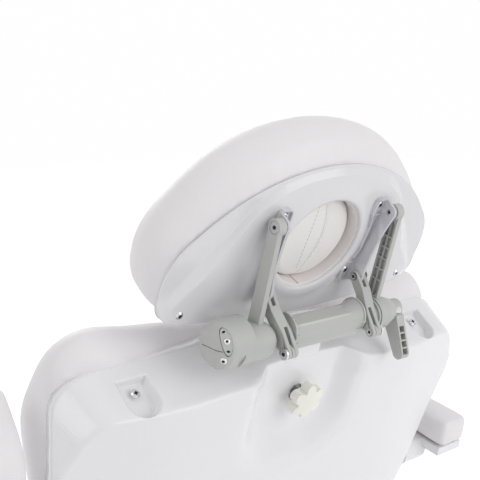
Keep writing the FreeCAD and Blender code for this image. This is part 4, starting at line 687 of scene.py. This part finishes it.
form = make_piece("cushion_form", into(HEAD, across, along, depth), faces, upholstery)
stuffed("headrest_cushion", "head_cushion", 0.005, 0.003, 0.005,
        lambda p: 1 - smooth((depth_in(HEAD, p) - 9) / 10), "headrest", form)
bpy.data.objects.remove(form)
stuffed("backrest_cushion", "back_cushion", 0.008, 0.006, 0.010,
        lambda p: 1 - smooth((depth_in(BACK, p) + 30) / 40), "back")
stuffed("seat_pad", "seat_cushion", 0.008, 0.006, 0.012,
        lambda p: 1 - smooth((p[:, 2] - 0.548) / 0.02), "seat")
stuffed("leg_pad", "leg_cushion", 0.008, 0.006, 0.012,
        lambda p: 1 - smooth((depth_in(LEG, p) - 3) / 20), "leg")
for side in ("left", "right"):
    stuffed("armrest_cushion_" + side, "armrest_pad_" + side, 0.0045, 0.003, 0.005,
            lambda p: p[:, 0] * 0, "armrest_" + side)

# %% [markdown]
# ## Lining of the face hole and its plug
# A padded sleeve lines the hole: a rounded wall carried round the hole's axis. The plug is a round pillow
# with softly rounded edges. Its cover is sewn from two halves, so a seam pulls a groove across it, and a
# second row of stitches runs beside the seam.


# %% Sleeve and plug
def tube(name, path, thickness, material):
    """Round thread along a path: circles square to the path, joined and closed at their ends."""
    path = np.asarray(path)
    run = np.gradient(path, axis=0)
    run /= np.linalg.norm(run, axis=1, keepdims=True)
    side = np.cross(run, (0.3, 0.5, 0.81))
    side /= np.linalg.norm(side, axis=1, keepdims=True)
    lift = np.cross(run, side)
    turn = np.linspace(0, 2 * np.pi, 8, endpoint=False)[:, None, None]
    rings = path + thickness * (np.cos(turn) * side + np.sin(turn) * lift)
    rings = np.concatenate((path[None, :1] + 0 * rings[:, :1], rings, path[None, -1:] + 0 * rings[:, -1:]), 1)
    return make_piece(name, rings, grid_faces(*rings.shape[:2], close_rows=True), material)


SEAM_RADIUS = 60.3
THREAD = 0.0004
PLUG_RADIUS, ROUND, PLUG_REAR, PLUG_FRONT = 59.8, 11.0, 9.0, 106.0
PLUG_FLAT = PLUG_RADIUS - ROUND
SEAM_MIDDLE = 80.0

turn = np.linspace(0, 2 * np.pi, 200, endpoint=False)
t = np.linspace(0, 2 * np.pi, 72, endpoint=False)[:, None]
power = 0.35
wall = np.sign(np.cos(t)) * np.abs(np.cos(t)) ** power * 2.4
run = np.sign(np.sin(t)) * np.abs(np.sin(t)) ** power * 50.5
swell = 1 + 0.02 * np.cos(3 * turn) * np.abs(np.sin(t))
radius = HOLE_RADIUS - 3.2 + wall * swell
lining = into(HEAD, HOLE[0] + radius * np.cos(turn), HOLE[1] + radius * np.sin(turn), 53.0 + run)
sleeve = make_piece("hole_lining", lining, grid_faces(*radius.shape, True, True), sleeve_cover)
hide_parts("hole_sleeve")
deep = np.linspace(3.5, 60, 24)
seam_turn = np.radians(-86) + 0.02 * np.sin(deep / 9)
seam = into(HEAD, SEAM_RADIUS * np.cos(seam_turn), HOLE[1] + SEAM_RADIUS * np.sin(seam_turn), deep)
lining_seam = tube("lining_seam", seam, 0.0005, seam_painted_shadow)
for piece in (sleeve, lining_seam):
    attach(piece, "headrest")


def seam_x(up):
    """Where the plug's seam lies at a height: a shallow parabola."""
    return -11.6 + 0.0276 * (up - SEAM_MIDDLE) + 0.0044 * (up - SEAM_MIDDLE) ** 2


def plug_rear(x, y):
    """Depth of the plug's rear face: a dome, rounded off at its edge and drawn in along the seam."""
    r = np.hypot(x, y - HOLE[1])
    over = np.clip(r - PLUG_FLAT, 0, ROUND)
    dome = PLUG_REAR + 4 * (r / PLUG_RADIUS) ** 2 + ROUND - np.sqrt(ROUND ** 2 - over ** 2)
    off = x - seam_x(y)
    pucker = 0.25 * np.sin(y * 0.9) * np.exp(-((off / 7) ** 2))
    return dome + 1.2 * np.exp(-((off / 2.2) ** 2)) + 1.4 * np.exp(-((off / 12) ** 2)) + pucker


bend = PLUG_FLAT + ROUND * np.sin(np.linspace(0.06, 1.57, 18))
r = np.concatenate((np.linspace(0, PLUG_FLAT, 80), bend))[:, None]
rear_x, rear_y = r * np.cos(turn), HOLE[1] + r * np.sin(turn)
rear_z = plug_rear(rear_x, rear_y)
front_r = r[::-3]
front_over = np.clip(front_r - PLUG_FLAT, 0, ROUND)
front_z = PLUG_FRONT - 4 * (front_r / PLUG_RADIUS) ** 2 - ROUND + np.sqrt(ROUND ** 2 - front_over ** 2)
plug_x = np.concatenate((rear_x, front_r * np.cos(turn)))
plug_y = np.concatenate((rear_y, HOLE[1] + front_r * np.sin(turn)))
plug_z = np.concatenate((rear_z, front_z + 0 * turn))
faces = grid_faces(*plug_x.shape, close_columns=True)
pillow = make_piece("plug_pillow", into(HEAD, plug_x, plug_y, plug_z), faces, plug_cover)
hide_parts("face_plug")
up = np.linspace(20, 128, 60)
up = up[np.hypot(seam_x(up), up - HOLE[1]) < PLUG_RADIUS - 3]
threads = [tube("plug_seam", into(HEAD, seam_x(up), up, plug_rear(seam_x(up), up)), THREAD, thread)]
for k, low in enumerate(np.arange(30, 126, 5.5)):
    up = np.linspace(low, low + 3.4, 5)
    beside = 12.2 - 0.0012 * (up - SEAM_MIDDLE) ** 2
    stitch = into(HEAD, beside, up, plug_rear(beside, up) - 0.1)
    threads.append(tube("plug_stitch_%02d" % k, stitch, THREAD, thread))
for piece in [pillow] + threads:
    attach(piece, "plug")

# %% [markdown]
# ## Small metalwork
# Screws and pins have a socket for the tool, a dark six-sided pit in a bright head. The left hub carries an
# oval cover plate with a screw between two holes, a larger screw below it and a fine parting line across its
# end. The pits, the holes, the gap round the plate and the parting line are near-black caps, sheets and
# threads of painted shade. The crossbar widens towards its right lug in a hollow flare.


# %% Sockets, hub plate and flare
def local(section_frame, points):
    """Chair points in metres as points of a section in millimetres."""
    origin, axes = section_frame
    return (np.asarray(points) - origin) @ axes.T * 1000


def corners_of(node):
    """All points of a solid as an array."""
    points = np.zeros(len(node.data.vertices) * 3)
    node.data.vertices.foreach_get("co", points)
    placed = np.array(node.matrix_world)
    return points.reshape(-1, 3) @ placed[:3, :3].T + placed[:3, 3]


def button(name, centre, facing, radius, rise, material, body, sides=32):
    """Low round or six-sided cap on a face: a quarter wave that falls from its middle to its edge."""
    facing = np.array(facing) / np.linalg.norm(facing)
    side = np.cross(facing, (0.31, 0.52, 0.79))
    side /= np.linalg.norm(side)
    lift = np.cross(facing, side)
    turn = np.linspace(0, 2 * np.pi, sides, endpoint=False)[:, None]
    out = np.array((0, 0.4, 0.75, 0.93, 1.0, 1.0))[:, None, None]
    high = np.array((1, 0.97, 0.8, 0.45, 0.1, -0.5))[:, None, None]
    ring = np.cos(turn) * side + np.sin(turn) * lift
    piece = make_piece(name, np.array(centre) + radius * out * ring + rise * high * facing,
                       grid_faces(6, sides, True), material)
    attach(piece, body)


PIN_BODY = {"lug_pin": "carrier", "upper_pin": "headrest", "lower_pin": "headrest"}
PIN_SOCKET, SCREW_SOCKET = 0.0024, 0.0023
PIT_RISE, CAP_RISE = 0.0003, 0.0012
SCREW_SPLIT = 72
for kind, body in PIN_BODY.items():
    for side in ("left", "right"):
        points = corners_of(nodes[kind + "_" + side])
        for sign in (-1, 1):
            axis = (points[:, 1:].max(0) + points[:, 1:].min(0)) / 2
            end = np.append((points[:, 0] * sign).max() * sign, axis)
            button("socket_%s_%s_%d" % (kind, side, sign), end, (sign, 0, 0), PIN_SOCKET, PIT_RISE, painted_pit_shade,
                   body, 6)
for kind, body, section_frame, facing in (("bracket_screws", "headrest", HEAD, (0, 0, -1)),
                                          ("shell_screws", "headrest", HEAD, (0, 0, -1)),
                                          ("corner_screws", "back", BACK, POCKET_UP)):
    points = local(section_frame, corners_of(nodes[kind]))
    facing = np.array(facing, float)
    group = (points[:, 0] > 0) * 2 + ((points[:, 1] > SCREW_SPLIT) if kind == "bracket_screws" else 0)
    for g in np.unique(group):
        head = points[group == g]
        middle = (head.max(0) + head.min(0)) / 2
        middle += facing * ((head - middle) @ facing).max()
        button("socket_%s_%d" % (kind, g), into(section_frame, *middle), facing @ section_frame[1],
               SCREW_SOCKET, PIT_RISE, painted_pit_shade, body, 6)

HUB = np.array((-11.6, -44.4))
HUB_START, HUB_LENGTH, HUB_CORE, HUB_ROUND = 150.0, 18.0, 11.0, 18.0
PLATE_PLACE, PLATE_TURN = 160.3, -39.0
# Along the axis, turn about it, radius, finish and height over the hub.
HUB_BUTTONS = (
    (160.5, -39, 0.0036, bright, 0.9), (160.5, -39, 0.0015, painted_pit_shade, 2.0), (160.2, -12, 0.0026, painted_pit_shade, 0.9),
    (160.6, -66, 0.0026, painted_pit_shade, 0.9), (163, -93, 0.0042, bright, 0.2), (163, -93, 0.0020, painted_pit_shade, 1.3))


def on_hub(x, degrees, out):
    """Point on the left hub: place along its axis, turn about it and height over its rounded end."""
    turn = np.radians(degrees)
    lean = np.clip((x - HUB_START) / HUB_LENGTH, 0, 0.999)
    flat = np.sqrt(1 - lean ** 2)
    radius = HUB_CORE + HUB_ROUND * flat + out * flat
    return into(HEAD, x + out * lean, HUB[0] + radius * np.cos(turn), HUB[1] + radius * np.sin(turn))


turn = np.linspace(0, 2 * np.pi, 72, endpoint=False)
t = np.array((0, 0.3, 0.6, 0.74, 0.8, 0.86, 0.92, 0.97, 1.0))[:, None]
brim = np.array((0.2, 0.2, 0.2, 0.3, 0.7, 0.9, 0.8, 0.5, -0.6))[:, None]
# Painted shade: hub_gap is a near-black sheet under the plate's edge that stands in for the shade in the gap
# round the plate.
for name, size, lift, tone in (("hub_gap", 1.10, 0.35, painted_pit_shade), ("hub_plate", 1.0, 0.75, casting)):
    high = brim * (tone is casting) + lift - 0.9 * (t == 1)
    plate = on_hub(PLATE_PLACE + 4.6 * size * t * np.cos(turn), PLATE_TURN + 36 * size * t * np.sin(turn),
                   high + 0 * turn)
    piece = make_piece(name, plate, grid_faces(*plate.shape[:2], True), tone, outward=-HEAD[1][2])
    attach(piece, "carrier")
for k, (place, degrees, size, tone, out) in enumerate(HUB_BUTTONS):
    facing = on_hub(place, degrees, 1.0) - on_hub(place, degrees, 0.0)
    button("hub_button_%d" % k, on_hub(place, degrees, out), facing, size,
           CAP_RISE if tone is bright else PIT_RISE, tone, "carrier")
end = np.linspace(164.5, 167.95, 12)
lower = on_hub(end, -66 + 0 * end, 0.05)
upper = on_hub(np.array((167.98,)), np.array((114.0,)), 0.05)
parting = tube("hub_parting", np.concatenate((lower, upper)), 0.0003, painted_pit_shade)
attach(parting, "carrier")

BAR = np.array((-16.6, -47.4))
BAR_RADIUS, BAR_REACH = 17.3, 57.5
LUG_RADIUS, LUG_OFFSET, LUG_INSET = 21.0, 8.0, 1.0
turn = np.linspace(0, 2 * np.pi, 96, endpoint=False)
run = np.linspace(0, 1, 24)[:, None]
lug = LUG_OFFSET * np.cos(turn) + np.sqrt(LUG_RADIUS ** 2 - (LUG_OFFSET * np.sin(turn)) ** 2) - LUG_INSET
radius = BAR_RADIUS + (lug - BAR_RADIUS) * run ** 3.0
skin = into(HEAD, -BAR_REACH * run, BAR[0] + radius * np.cos(turn), BAR[1] + radius * np.sin(turn))
flare = make_piece("bar_flare", skin, grid_faces(*radius.shape, True), casting)
thicken(flare, 0.0015)
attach(flare, "carrier")
print("small metalwork added")
